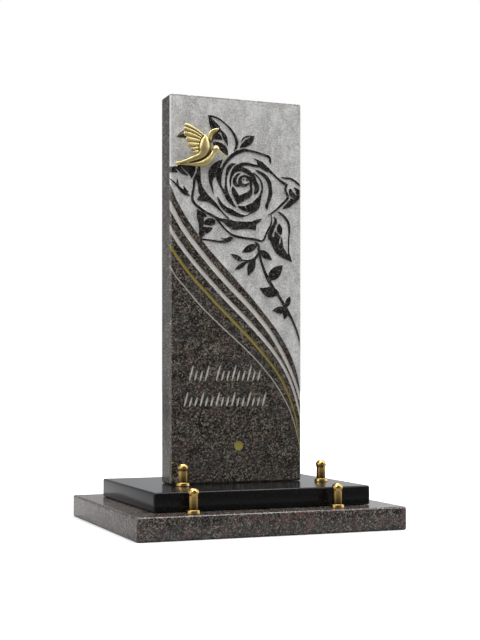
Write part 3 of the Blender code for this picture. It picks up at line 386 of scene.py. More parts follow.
@dataclass(frozen=True)
class BlackGranite(Finish):
    """Fine-grained black granite, polished like glass, with the faintest grey grain in its depth."""

    dark: str = "0d0d0e"
    grain: str = "1a1a1b"
    grain_size: float = 1.2 * MM
    grain_from: float = 0.55

    def build(self) -> bpy.types.Material:
        """Makes the material.

        Returns:
            The material.
        """
        material, tree, shader, place = self.start()
        cells = add_node(tree, "TexVoronoi", {"Vector": place, "Scale": 1 / self.grain_size})
        pick = add_node(tree, "SeparateColor", {0: cells.outputs["Color"]})
        colour = add_node(tree, "ValToRGB", {0: pick.outputs[0]},
                          stops=((self.grain_from, self.dark), (1.0, self.grain)))
        tree.links.new(colour.outputs[0], shader.inputs["Base Color"])
        return material


@dataclass(frozen=True)
class BlastedGranite(Finish):
    """Granite roughened by sandblasting: a dull pale grey, because the broken grains scatter the light.

    The eye sees cloudy mottling and, over it, single crystals that sparkle or stay dark. cloud_swing and
    crystal_swing are how far each of them changes the tone, around the tone that shift sets.
    """

    pale: str = "e4e3e1"
    dark: str = "999897"
    spark: str = "f4f4f2"
    grain_size: float = 1.05 * MM
    cloud_size: float = 15 * MM
    cloud_swing: float = 1.4
    crystal_swing: float = 0.6
    shift: float = -0.5
    relief: float = 0.12 * MM
    relief_strength: float = 0.6
    spark_from: float = 0.94
    spark_share: float = 0.5

    def build(self) -> bpy.types.Material:
        """Makes the material.

        Returns:
            The material.
        """
        material, tree, shader, place = self.start()
        cells = add_node(tree, "TexVoronoi", {"Vector": place, "Scale": 1 / self.grain_size})
        pick = add_node(tree, "SeparateColor", {0: cells.outputs["Color"]})
        # Clouds are a little taller than wide, as the nozzle went up and down
        tall = add_node(tree, "VectorMath", {0: place, 1: (1.0, 1.0, 0.6)}, operation="MULTIPLY")
        clouds = add_node(tree, "TexNoise", {"Vector": tall.outputs[0], "Scale": 1 / self.cloud_size,
                                             "Detail": 5.0, "Roughness": 0.65})
        cloud = add_node(tree, "Math", {0: clouds.outputs["Fac"], 1: self.cloud_swing, 2: self.shift},
                         operation="MULTIPLY_ADD")
        mixed = add_node(tree, "Math", {0: pick.outputs[0], 1: self.crystal_swing, 2: cloud.outputs[0]},
                         operation="MULTIPLY_ADD")
        colour = add_node(tree, "ValToRGB", {0: mixed.outputs[0]}, stops=((0.1, self.dark), (0.9, self.pale)))
        bright = add_node(tree, "MapRange", {0: pick.outputs[1], 1: self.spark_from, 2: 1.0, 3: 0.0,
                                             4: self.spark_share})
        final = add_node(tree, "Mix", {0: bright.outputs[0], 6: colour.outputs[0], 7: linear(self.spark)},
                         data_type="RGBA")
        pits = add_node(tree, "TexNoise", {"Vector": place, "Scale": 1 / self.grain_size, "Detail": 3.0})
        bump = add_node(tree, "Bump", {"Height": pits.outputs["Fac"], "Distance": self.relief,
                                       "Strength": self.relief_strength})
        tree.links.new(final.outputs[2], shader.inputs["Base Color"])
        tree.links.new(bump.outputs[0], shader.inputs["Normal"])
        return material


@dataclass(frozen=True)
class GoldPaint(Finish):
    """Dull gold paint brushed into a blasted cut: an olive yellow whose flakes glint a little."""

    colour: str = "b6a658"
    thin: str = "968848"
    fleck_size: float = 1.5 * MM

    def build(self) -> bpy.types.Material:
        """Makes the material.

        Returns:
            The material.
        """
        material, tree, shader, place = self.start()
        flecks = add_node(tree, "TexNoise", {"Vector": place, "Scale": 1 / self.fleck_size, "Detail": 2.0})
        colour = add_node(tree, "ValToRGB", {0: flecks.outputs["Fac"]},
                          stops=((0.35, self.thin), (0.65, self.colour)))
        tree.links.new(colour.outputs[0], shader.inputs["Base Color"])
        return material


@dataclass(frozen=True)
class WornMetal(Finish):
    """A yellow metal that is bright on what stands out and brown in its hollows and its corners: dark patina,
    and painted shade laid in its colour.

    Handling leaves smears, in which its roughness runs between two shares of the plain value.
    """

    colour: str = "c9a866"
    patina_and_shade: str = "3a2a12"
    smear: float = 4 * MM
    dullness: tuple[float, float] = (0.8, 1.25)

    def build(self) -> bpy.types.Material:
        """Makes the material. It reads from a mesh attribute how much dark patina and painted shade each
        point takes.

        Returns:
            The material.
        """
        material, tree, shader, place = self.start()
        depth = add_node(tree, "Attribute", attribute_name="patina_and_shade")
        # The brown in the hollows is patina and painted shade
        colour = add_node(tree, "ValToRGB", {0: depth.outputs["Fac"]},
                          stops=((0.15, self.colour), (0.85, self.patina_and_shade)))
        smears = add_node(tree, "TexNoise", {"Vector": place, "Scale": 1 / self.smear, "Detail": 3.0})
        low, high = (self.roughness * share for share in self.dullness)
        dull = add_node(tree, "MapRange", {0: smears.outputs["Fac"], 1: 0.3, 2: 0.7, 3: low, 4: high})
        tree.links.new(colour.outputs[0], shader.inputs["Base Color"])
        tree.links.new(dull.outputs[0], shader.inputs["Roughness"])
        return material


# Brown granite, whose grains run from black mica to pale feldspar
STELE_STONE = PolishedGranite("polished_brown_granite", roughness=0.14, grains=(
    (0.0, "12100e"), (0.35, "332e2a"), (0.65, "554e46"), (0.95, "81796e")))
# The same stone, oiled dark where it stands in the blasted ground
SPARED_STONE = replace(STELE_STONE, name="oiled_brown_granite", mica=0.2, pink_share=0.1, quartz_from=0.985,
                       grains=((0.0, "0c0b0b"), (0.4, "1b1918"), (0.7, "2f2b28"), (0.97, "55504a")))
# A brown granite with reddish feldspar in small patches
BASE_STONE = PolishedGranite(
    "polished_light_brown_granite", roughness=0.18, ior=1.6, pink="6a4b47", cool="464b47", pink_share=0.7,
    patch_size=12 * MM, grains=((0.0, "100e0d"), (0.35, "332e2a"), (0.65, "544d47"), (0.95, "7e776e")))
# The black one mirrors weakly for a stone, so its IOR is low
BLACK_STONE = BlackGranite("polished_black_granite", roughness=0.18, ior=1.35)
BLASTED_STONE = BlastedGranite("sandblasted_granite", roughness=0.85)
# Bands are blasted longer, and so are paler and more even
PALE_CUT = BlastedGranite("sandblasted_bands", roughness=0.8, pale="dbd7d2", dark="bcb8b3", spark="eeece8",
                          cloud_size=25 * MM)
# Chamfers are honed by hand, which leaves the grain in sight under a grey haze
HONED_STONE = BlastedGranite("honed_granite_edge", roughness=0.6, pale="7f7b76", dark="37332f",
                             spark="d8d5cf", cloud_size=9 * MM, spark_share=1.0)
# Where blasting ran over the left chamfer the edge is blasted pale, and painted whiter still as a highlight
BLASTED_EDGE_WITH_HIGHLIGHT = BlastedGranite("blasted_granite_edge_painted_highlight", roughness=0.8, pale="f6f5f3", dark="dddbd8",
                               spark="fbfbfa", cloud_size=20 * MM)
GOLD_PAINT = GoldPaint("gold_paint", roughness=0.45, metallic=0.3)
# Both metals are painted brown in their hollows: patina and painted shade
BRASS = WornMetal("turned_brass", roughness=0.2, metallic=1.0)
# Gilding on a cast skin is softer and lighter than turned brass
GILDING = WornMetal("gilded_bronze", roughness=0.4, metallic=1.0, colour="f0dc9c", patina_and_shade="33260e")


def new_piece(name: str, points: np.ndarray, faces: list, materials: list[bpy.types.Material],
              smooth: bool = True) -> bpy.types.Object:
    """Adds a mesh object at the origin.

    Args:
        name: the piece's name.
        points: its vertices in metres, one row each.
        faces: lists of vertex numbers, or a whole array of them.
        materials: its materials, one per slot.
        smooth: whether its faces are shaded smooth.

    Returns:
        The object, in the scene.
    """
    mesh = bpy.data.meshes.new(name)
    mesh.from_pydata(np.asarray(points).tolist(), [], faces if isinstance(faces, list) else faces.tolist())
    for material in materials:
        mesh.materials.append(material)
    mesh.polygons.foreach_set("use_smooth", np.full(len(mesh.polygons), smooth))
    piece = bpy.data.objects.new(name, mesh)
    bpy.context.scene.collection.objects.link(piece)
    return piece


def settle(piece: bpy.types.Object, node: str) -> None:
    """Puts a finished piece in the place of its CAD node and reports it.

    Args:
        piece: the finished piece.
        node: the CAD node that it stands for.
    """
    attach(piece, BODY)
    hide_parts(node)
    LOG.info("%s: %d faces", piece.name, len(piece.data.polygons))


def smooth_curve(knots: Knots, steps: int) -> np.ndarray:
    """Draws a centripetal Catmull-Rom curve: each span blends three lines by the square root of length.

    Args:
        knots: the points that the curve passes through, whose first two values are a place.
        steps: spans between two knots.

    Returns:
        The curve's points, one row each.
    """
    held = np.array(knots, float)
    ends = np.vstack([2 * held[0] - held[1], held, 2 * held[-1] - held[-2]])
    t = np.concatenate([[0], np.cumsum(np.sqrt(np.linalg.norm(np.diff(ends[:, :2], axis=0), axis=1)))])

    def between(a: np.ndarray, b: np.ndarray, j: int, k: int, s: np.ndarray) -> np.ndarray:
        """Blends a at t[j] into b at t[k]."""
        return ((t[k] - s) * a + (s - t[j]) * b) / (t[k] - t[j])

    spans = []
    for i in range(1, len(held)):
        s = np.linspace(t[i], t[i + 1], steps, endpoint=False)[:, None]
        lines = [between(ends[j], ends[j + 1], j, j + 1, s) for j in (i - 1, i, i + 1)]
        before = between(lines[0], lines[1], i - 1, i + 1, s)
        after = between(lines[1], lines[2], i, i + 2, s)
        spans.append(between(before, after, i, i + 1, s))
    return np.vstack(spans + [held[-1:]])


def sides_of(centres: np.ndarray, widths: np.ndarray) -> tuple[np.ndarray, np.ndarray]:
    """Gives a stroke's two sides: its centre line moved out by half its width, left and right.

    Args:
        centres: the centre line's points, one row each.
        widths: the stroke's width at each of them.

    Returns:
        The left side's points and the right side's.
    """
    along = np.gradient(centres, axis=0)
    along /= np.linalg.norm(along, axis=1)[:, None]
    across = np.stack([-along[:, 1], along[:, 0]], 1) * widths[:, None] / 2
    return centres + across, centres - across


class Zone(IntEnum):
    """What was done to a part of the stele, in the order of its materials."""

    POLISHED = 0
    BLASTED = 1
    PALE = 2
    GILDED = 3
    HONED = 4
    # Blasted over the left chamfer, and painted whiter as a highlight
    BRUISED = 5
    SPARED = 6


SUNK_ZONES = (Zone.BLASTED, Zone.PALE, Zone.GILDED)
ZONE_FINISHES = {
    Zone.POLISHED: STELE_STONE, Zone.BLASTED: BLASTED_STONE, Zone.PALE: PALE_CUT, Zone.GILDED: GOLD_PAINT,
    Zone.HONED: HONED_STONE, Zone.BRUISED: BLASTED_EDGE_WITH_HIGHLIGHT, Zone.SPARED: SPARED_STONE}


@dataclass
class Stencil:
    """Flat outlines laid over each other in millimetres, the later above the earlier.

    A spared stroke is wider than its knots say by the bleed, in full from bled_width on.
    """

    steps: int = 5
    finest: float = 0.3
    bleed: float = 0.9
    bled_width: float = 2
    leaf_fullness: float = 0.85
    weld: float = 1e-4
    points: list = field(default_factory=list)
    edges: list = field(default_factory=list)
    faces: list = field(default_factory=list)
    zones: list = field(default_factory=list)

    def add_outline(self, outline: np.ndarray, zone: Zone) -> None:
        """Adds one closed outline.

        Args:
            outline: its corners, anticlockwise.
            zone: what is done inside it.
        """
        start = len(self.points)
        self.points.extend(np.asarray(outline, float).tolist())
        self.faces.append(list(range(start, start + len(outline))))
        self.zones.append(zone)

    def add_strip(self, sides: tuple[np.ndarray, np.ndarray], zone: Zone) -> None:
        """Adds a stroke as a row of four-sided pieces, so that it may turn on itself.

        Args:
            sides: the points of its left side and of its right side.
            zone: what is done inside it.
        """
        left, right = sides
        for piece in np.stack([right[:-1], right[1:], left[1:], left[:-1]], 1):
            self.add_outline(piece, zone)

    def add_stroke(self, knots: Knots, zone: Zone) -> None:
        """Adds a stroke along a smooth curve.

        Args:
            knots: what it passes through, as (across, up, width).
            zone: what is done inside it.
        """
        points = smooth_curve(knots, self.steps)
        widths = points[:, 2].clip(self.finest)
        if zone == Zone.SPARED:
            # The mask bled a little, least at the pointed ends
            widths = widths + self.bleed * (widths / self.bled_width).clip(0, 1)
        self.add_strip(sides_of(points[:, :2], widths), zone)

    def add_leaf(self, base: tuple, tip: tuple, width: float) -> None:
        """Adds a pointed leaf whose width is a sine, fullest a little before its middle.

        Args:
            base: (across, up) of its base.
            tip: (across, up) of its tip.
            width: its greatest width.
        """
        share = np.linspace(0, 1, 3 * self.steps)[:, None]
        widths = width * np.sin(math.pi * share[:, 0] ** self.leaf_fullness) ** self.leaf_fullness
        centres = np.array(base) * (1 - share) + np.array(tip) * share
        self.add_strip(sides_of(centres, widths.clip(self.finest)), Zone.SPARED)

    def triangles(self) -> tuple[np.ndarray, np.ndarray, np.ndarray]:
        """Cuts everything into triangles that lie in one zone each.

        Returns:
            The points, the triangles inside the first outline, and each triangle's zone.
        """
        points, _, faces, _, _, sources = delaunay_2d_cdt(
            [Vector(p) for p in self.points], self.edges, self.faces, 0, self.weld)
        inside = [(face, self.zones[max(source)]) for face, source in zip(faces, sources) if 0 in source]
        return (np.array([tuple(p) for p in points]), np.array([face for face, _ in inside]),
                np.array([int(zone) for _, zone in inside]))


@dataclass
class Stele:
    """The upright slab, with its polished, blasted and gilded parts as one relief.

    Seen from the front its face is a height field: the chamfer falls off towards the outline, and what
    is blasted lies one cut deeper, running out to nothing at the outline.
    """

    node: str = "stele"
    chamfer: float = 2 * MM
    cut: float = 0.8 * MM
    stroke_rows: tuple = (
        {"left": 28, "foot": 133, "pitch": 7.2, "height": 15, "groups": (4, 9)},
        {"left": 21, "foot": 100, "pitch": 7.2, "height": 14, "groups": (16,)},
    )
    stroke_widths: tuple = (1.3, 2.5, 1.3)
    stroke_slant: float = 0.28
    group_space: float = 8
    height_swing: float = 0.3
    height_turn: float = 2.1
    disc_sides: int = 48

    def corners(self) -> np.ndarray:
        """Gives the outline's eight corners, anticlockwise from the lower left, in shares of the chamfer.

        Returns:
            Rows of (x, z), in metres.
        """
        (x0, _, z0), (x1, _, z1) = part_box(self.node)
        c = self.chamfer
        return np.array([(x0 + c, z0), (x1 - c, z0), (x1, z0 + c), (x1, z1 - c),
                         (x1 - c, z1), (x0 + c, z1), (x0, z1 - c), (x0, z0 + c)])

    def flat(self) -> np.ndarray:
        """Gives the four corners of what lies inside the chamfers, anticlockwise from the lower left.

        Returns:
            Rows of (x, z), in metres.
        """
        (x0, _, z0), (x1, _, z1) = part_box(self.node)
        c = self.chamfer
        return np.array([(x0 + c, z0 + c), (x1 - c, z0 + c), (x1 - c, z1 - c), (x0 + c, z1 - c)])

    def to_face(self, points: np.ndarray) -> np.ndarray:
        """Turns places on the stencil into places on this face.

        Args:
            points: rows of (across, up), in millimetres.

        Returns:
            Rows of (x, z), in metres.
        """
        (x0, _, z0), (x1, _, z1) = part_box(self.node)
        scale = np.array([x1 - x0, z1 - z0]) / STENCIL_SIZE
        return np.array([x0, z0]) + (points + STENCIL_CORNER) * scale

    def to_stencil(self, points: np.ndarray) -> np.ndarray:
        """Turns places on this face into places on the stencil.

        Args:
            points: rows of (x, z), in metres.

        Returns:
            Rows of (across, up), in millimetres.
        """
        (x0, _, z0), (x1, _, z1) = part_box(self.node)
        scale = np.array([x1 - x0, z1 - z0]) / STENCIL_SIZE
        return (points - np.array([x0, z0])) / scale - STENCIL_CORNER

    def stencil(self) -> Stencil:
        """Draws the whole face.

        Returns:
            The stencil, whose first outline is the face's own.
        """
        stencil = Stencil()
        outline = self.corners()
        stencil.add_outline(self.to_stencil(outline), Zone.HONED)
        stencil.add_outline(self.to_stencil(self.flat()), Zone.POLISHED)
        # A corner of the flat face is joined to the two corners of the outline beside it
        first = len(outline)
        for i in range(4):
            stencil.edges += [(first + i, (2 * i - 1) % first), (first + i, 2 * i)]
        edge = smooth_curve(tuple((*knot, 0) for knot in GROUND_EDGE), stencil.steps)[:, :2]
        stencil.add_outline(np.vstack([edge, GROUND_CORNERS]), Zone.BLASTED)
        for knots in (*ROSE.values(), *LEAVES.values()):
            stencil.add_stroke(knots, Zone.SPARED)
        for leaf in BRANCH_LEAVES:
            stencil.add_leaf(*leaf)
        for knots in VEINS.values():
            stencil.add_stroke(knots, Zone.BLASTED)
        for knots in BLASTED_BANDS.values():
            stencil.add_stroke(knots, Zone.PALE)
        stencil.add_stroke(GILDED_BAND, Zone.GILDED)
        turn = np.linspace(0, 2 * math.pi, self.disc_sides, endpoint=False)
        disc = np.array(DISC_CENTRE) + DISC_DIAMETER / 2 * np.stack([np.cos(turn), np.sin(turn)], 1)
        stencil.add_outline(disc, Zone.GILDED)
        for row in self.stroke_rows:
            self.add_stroke_row(stencil, row)
        return stencil

    def add_stroke_row(self, stencil: Stencil, row: dict) -> None:
        """Adds one row of slanting strokes, whose heights rise and fall along it.

        Args:
            stencil: where they go.
            row: its left end, foot, pitch, height and the count in each group, in millimetres.
        """
        left = row["left"]
        for group in row["groups"]:
            for i in range(group):
                height = row["height"] * (1 + self.height_swing * math.cos(self.height_turn * i))
                share = np.linspace(0, 1, len(self.stroke_widths))
                knots = np.stack([left + share * self.stroke_slant * height, row["foot"] + share * height,
                                  self.stroke_widths], 1)
                stencil.add_stroke(knots, Zone.PALE)
                left += row["pitch"]
            left += self.group_space

    def build(self) -> bpy.types.Object:
        """Makes the slab.

        Returns:
            The piece.
        """
        points, triangles, zones = self.stencil().triangles()
        places = self.to_face(points)
        (x0, front, z0), (x1, back, z1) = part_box(self.node)
        across = np.minimum(places[:, 0] - x0, x1 - places[:, 0])
        up = np.minimum(places[:, 1] - z0, z1 - places[:, 1])
        inward = np.minimum(np.minimum(across, up), across + up - self.chamfer).clip(0)
        fall = (self.chamfer - inward).clip(0)
        depth = self.cut * (inward / self.chamfer).clip(0, 1)
        top = np.stack([places[:, 0], front + fall, places[:, 1]], 1)
        floor = top + np.stack([0 * depth, depth, 0 * depth], 1)
        count = len(points)
        sunk = np.isin(zones, SUNK_ZONES)
        faces = (triangles + count * sunk[:, None]).tolist()
        slots = self.finish_zones(places[triangles].mean(1), zones).tolist()
        walls, wall_zones = self.walls(triangles, zones, count)
        faces += walls.tolist()
        slots += wall_zones.tolist()
        shell, extra = self.shell(places, inward, back, 2 * count)
        faces += shell
        slots += [int(Zone.POLISHED)] * len(shell)
        piece = new_piece("stele_carved", np.vstack([top, floor, extra]), faces,
                          [ZONE_FINISHES[zone].build() for zone in Zone], smooth=False)
        piece.data.polygons.foreach_set("material_index", np.array(slots, np.int32))
        close_mesh(piece.data)
        settle(piece, self.node)
        return piece

    def finish_zones(self, middles: np.ndarray, zones: np.ndarray) -> np.ndarray:
        """Changes the finish at the blasted ground's borders.

        Where the ground runs out over the left chamfer it is blasted pale and painted whiter as a highlight,
        and over the upper one it was honed again. The ornament is oiled dark above the ground's lower edge
        only.

        Args:
            middles: (x, z) of the triangles' middles.
            zones: each triangle's zone.

        Returns:
            The zones by finish.
        """
        (x0, _, _), (_, _, z1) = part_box(self.node)
        across, up = self.to_stencil(middles).T
        blasted = zones == Zone.BLASTED
        left = middles[:, 0] < x0 + self.chamfer
        upper = middles[:, 1] > z1 - self.chamfer
        outside = up < np.interp(across, *np.array(GROUND_EDGE).T)
        return np.select([blasted & left & ~upper, blasted & upper, (zones == Zone.SPARED) & outside],
                         [Zone.BRUISED, Zone.HONED, Zone.POLISHED], zones)

    def walls(self, triangles: np.ndarray, zones: np.ndarray, count: int) -> tuple[np.ndarray, np.ndarray]:
        """Finds the edges between what is polished and what is sunk, and stands a wall on each.

        Args:
            triangles: rows of three points.
            zones: each triangle's zone.
            count: how many points there are, which is how far a floor's number is from its top's.

        Returns:
            The walls, as rows of four points, and their zones.
        """
        edges = np.sort(np.stack([triangles, np.roll(triangles, -1, 1)], 2).reshape(-1, 2), 1)
        owner = np.repeat(zones, 3)
        order = np.lexsort((edges[:, 1], edges[:, 0]))
        edges, owner = edges[order], owner[order]
        same = (edges[1:] == edges[:-1]).all(1)
        first, second = owner[:-1][same], owner[1:][same]
        low_first, low_second = np.isin(first, SUNK_ZONES), np.isin(second, SUNK_ZONES)
        step = low_first != low_second
        ends = edges[:-1][same][step]
        walls = np.stack([ends[:, 0], ends[:, 1], ends[:, 1] + count, ends[:, 0] + count], 1)
        return walls, np.where(low_first, first, second)[step]

    def shell(self, places: np.ndarray, inward: np.ndarray, back: float,
              start: int) -> tuple[list, np.ndarray]:
        """Makes the slab's sides, its back and the back's chamfers.

        Args:
            places: (x, z) of the face's points.
            inward: how far inside the outline each of them is.
            back: y of the slab's back.
            start: the number of the first vertex that this adds.

        Returns:
            The faces, and the vertices that they add: the outline's corners, then the back's.
        """
        outline, flat = self.corners(), self.flat()
        rim = np.flatnonzero(inward < TOUCH / 10)
        slack = 1e-6
        sides = len(outline)
        faces = []
        for i in range(sides):
            a, b = outline[i], outline[(i + 1) % sides]
            span = b - a
            share = (places[rim] - a) @ span / (span @ span)
            off = np.abs((places[rim] - a) @ np.array([-span[1], span[0]])) / np.linalg.norm(span)
            on_side = (off < TOUCH) & (share > -slack) & (share < 1 + slack)
            row = rim[on_side][np.argsort(share[on_side])]
            faces.append([*row.tolist(), start + (i + 1) % sides, start + i])
        inner = start + sides
        for i in range(4):
            after = (2 * i + 1) % sides
            faces.append([start + (2 * i - 1) % sides, start + 2 * i, inner + i])
            faces.append([start + 2 * i, start + after, inner + (i + 1) % 4, inner + i])
        faces.append([inner + i for i in range(4)])
        ring = np.stack([outline[:, 0], np.full(sides, back - self.chamfer), outline[:, 1]], 1)
        end = np.stack([flat[:, 0], np.full(4, back), flat[:, 1]], 1)
        return faces, np.vstack([ring, end])


def close_mesh(mesh: bpy.types.Mesh, gap: float = TOUCH) -> None:
    """Merges a mesh's doubled points, drops what that leaves empty and turns its faces outwards.

    Args:
        mesh: the mesh, which is changed.
        gap: how near doubled points are.
    """
    shape = bmesh.new()
    shape.from_mesh(mesh)
    bmesh.ops.remove_doubles(shape, verts=shape.verts, dist=gap)
    bmesh.ops.dissolve_degenerate(shape, edges=shape.edges, dist=gap / 10)
    loose = [v for v in shape.verts if not v.link_faces]
    bmesh.ops.delete(shape, geom=loose, context="VERTS")
    bmesh.ops.recalc_face_normals(shape, faces=shape.faces)
    shape.to_mesh(mesh)
    shape.free()


@dataclass
class Plate:
    """A slab of the foot: a rounded rectangle carried up a profile with rounded edges."""

    name: str
    node: str
    slot: str
    finish: Finish
    corner: float = 3.2 * MM
    edge: float = 2.2 * MM
    corner_steps: int = 6
    edge_steps: int = 4
    sharp_angle: float = 40

    def build(self) -> bpy.types.Object:
        """Makes the slab: a corner's arc at each corner of the outline, drawn in by the edge's arc.

        Returns:
            The piece.
        """
        (x0, y0, z0), (x1, y1, z1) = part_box(self.node)
        middle = np.array([x0 + x1, y0 + y1]) / 2
        half = np.array([x1 - x0, y1 - y0]) / 2
        bend = np.linspace(0, math.pi / 2, self.edge_steps + 1)
        inset = np.concatenate([self.edge * (1 - np.sin(bend)), self.edge * (1 - np.cos(bend))])
        height = np.concatenate([z0 + self.edge * (1 - np.cos(bend)), z1 - self.edge * (1 - np.sin(bend))])
        turn = np.linspace(0, math.pi / 2, self.corner_steps + 1)
        turns = np.concatenate([turn + quarter * math.pi / 2 for quarter in range(4)])
        quarter = np.repeat(np.arange(4), len(turn))
        sign = np.stack([np.where((quarter == 0) | (quarter == 3), 1, -1), np.where(quarter < 2, 1, -1)], 1)
        way = np.stack([np.cos(turns), np.sin(turns)], 1)
        flat = middle + sign * (half - self.corner) + way * self.corner
        ring = flat[None] - way[None] * inset[:, None, None]
        points = np.concatenate([ring, np.broadcast_to(height[:, None, None], (*ring.shape[:2], 1))], 2)
        around = ring.shape[1]
        faces = grid_faces(len(height), around)
        faces += [list(range(around))[::-1], list(range((len(height) - 1) * around, len(height) * around))]
        piece = new_piece(self.name, points.reshape(-1, 3), faces, [self.finish.build()])
        piece.data.set_sharp_from_angle(angle=math.radians(self.sharp_angle))
        # The top and the underside, which are last, stay flat
        smooth = np.ones(len(piece.data.polygons), bool)
        smooth[-2:] = False
        piece.data.polygons.foreach_set("use_smooth", smooth)
        settle(piece, self.node)
        return piece


def grid_faces(rows: int, columns: int) -> list:
    """Gives the four-sided faces of a grid of points whose columns close to a ring.

    Args:
        rows: how many rings there are, from the bottom up.
        columns: how many points a ring has, anticlockwise.

    Returns:
        Lists of four point numbers.
    """
    i, j = np.meshgrid(np.arange(rows - 1), np.arange(columns), indexing="ij")
    k = (j + 1) % columns
    return np.stack([i * columns + j, i * columns + k, (i + 1) * columns + k, (i + 1) * columns + j],
                    2).reshape(-1, 4).tolist()


@dataclass
class Post:
    """A turned brass post: coned flange, shaft and domed cap, a profile carried round its axis."""

    node: str
    sides: int = 64
    finish: Finish = BRASS
    shaft: float = 5.9 * MM
    cap: float = 6.8 * MM
    dome: float = 5.6 * MM
    rim: float = 0.7 * MM
    taper: float = 4.0 * MM
    flange: float = 4.2 * MM
    skirt: float = 1.0 * MM
    lip: float = 0.8 * MM
    lip_radius: float = 8.2 * MM
    edge: float = 0.3 * MM
    fillet: float = 0.6 * MM
    pole: float = 0.001 * MM
    arc_steps: int = 8
    taper_steps: int = 10
    # The cove is painted brown as patina and painted shade, to this level
    shaded_cove_height: float = 0.9 * MM
    shaded_cove_width: float = 1.0 * MM
    patina_and_shade_level: float = 0.8
    sharp_angle: float = 35

    def profile(self, radius: float, height: float) -> np.ndarray:
        """Gives the outside from the foot to the top: skirt, cone, lip, cove, shaft, taper, rim and dome.

        Args:
            radius: the flange's radius at its foot.
            height: the post's height.

        Returns:
            Rows of (radius, height).
        """
        quarter = np.linspace(0, math.pi / 2, self.arc_steps)
        skirt = [(self.pole, 0.0), (radius - self.edge, 0.0), (radius, self.edge), (radius, self.skirt)]
        lip = np.stack([self.lip_radius - self.lip * (1 - np.cos(quarter)),
                        self.flange - self.lip * (1 - np.sin(quarter))], 1)
        cove = np.stack([self.shaft + self.fillet * (1 - np.sin(quarter)),
                         self.flange + self.fillet * (1 - np.cos(quarter))], 1)
        rise = np.linspace(0, 1, self.taper_steps)
        top = height - self.dome - self.rim
        swell = 0.5 - 0.5 * np.cos(math.pi * rise)
        taper = np.stack([self.shaft + (self.cap - self.shaft) * swell, top - self.taper * (1 - rise)], 1)
        dome = np.stack([self.cap * np.cos(quarter), height - self.dome * (1 - np.sin(quarter))], 1)
        return np.vstack([skirt, lip, cove, taper, dome[:-1], [(self.pole, height)]])

    def build(self) -> bpy.types.Object:
        """Makes the post in its node's place.

        Returns:
            The piece.
        """
        low, high = (np.array(corner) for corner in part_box(self.node))
        middle = (low + high) / 2
        rows = self.profile((high[0] - low[0]) / 2, high[2] - low[2])
        turn = np.linspace(0, 2 * math.pi, self.sides, endpoint=False)
        x = middle[0] + rows[:, :1] * np.cos(turn)
        y = middle[1] + rows[:, :1] * np.sin(turn)
        z = np.broadcast_to(low[2] + rows[:, 1:], x.shape)
        points = np.stack([x, y, z], 2).reshape(-1, 3)
        faces = grid_faces(len(rows), self.sides)
        faces += [list(range(self.sides))[::-1], list(range(len(points) - self.sides, len(points)))]
        piece = new_piece(self.node + "_turned", points, faces, [self.finish.build()])
        # The cove between the flange and the shaft is hollow, and is painted brown: patina and painted shade
        cove = ((np.abs(rows[:, 1] - self.flange) < self.shaded_cove_height)
                & (rows[:, 0] < self.shaft + self.shaded_cove_width))
        patina_and_shade = np.repeat(np.where(cove, self.patina_and_shade_level, 0.0), self.sides)
        piece.data.attributes.new("patina_and_shade", "FLOAT", "POINT").data.foreach_set("value", patina_and_shade)
        piece.data.set_sharp_from_angle(angle=math.radians(self.sharp_angle))
        settle(piece, self.node)
        return piece


@dataclass
class Limb:
    """One limb of the casting: an ellipse carried along a curve over the face, pointed at both ends.

    Its knots are (across, up, lift above the stone, half width), in millimetres, and its flatness is how
    deep the ellipse is for its width.
    """

    knots: Knots
    flatness: float
    sides: int = 24
    steps: int = 7
    finest: float = 0.05

    def frame(self) -> tuple[np.ndarray, ...]:
        """Works out the curve and its axes.

        Returns:
            The centres, the radii, and the axes along the curve, across it and out of the stone.
        """
        curve = smooth_curve(self.knots, self.steps)
        centres, radius = curve[:, :3], curve[:, 3].clip(self.finest)
        along = np.gradient(centres, axis=0)
        along /= np.linalg.norm(along, axis=1)[:, None]
        out = np.array([0.0, 0.0, 1.0]) - along * along[:, 2:]
        out /= np.linalg.norm(out, axis=1)[:, None]
        return centres, radius, along, np.cross(along, out), out

    def skin(self) -> tuple[np.ndarray, list]:
        """Gives the limb's surface: cosine times the width across, sine times the depth outwards.

        Returns:
            The points as (across, up, lift) in millimetres, and the faces.
        """
        centres, radius, _, across, out = self.frame()
        turn = np.linspace(0, 2 * math.pi, self.sides, endpoint=False)[None, :, None]
        ring = np.cos(turn) * across[:, None] + self.flatness * np.sin(turn) * out[:, None]
        points = centres[:, None] + radius[:, None, None] * ring
        faces = grid_faces(len(centres), self.sides)
        faces += [list(range(self.sides))[::-1],
                  list(range((len(centres) - 1) * self.sides, len(centres) * self.sides))]
        return points.reshape(-1, 3), faces

    def distance(self, points: np.ndarray) -> np.ndarray:
        """Measures how far points lie outside the limb, with the depth stretched to make it round.

        Args:
            points: rows of (across, up, lift), in millimetres.

        Returns:
            The distances, below nothing inside.
        """
        near = np.full(len(points), np.inf)
        for centre, radius, *axes in zip(*self.frame()):
            local = (points - centre) @ np.array(axes).T / (1, 1, self.flatness)
            near = np.minimum(near, np.linalg.norm(local, axis=1) - radius)
        return near


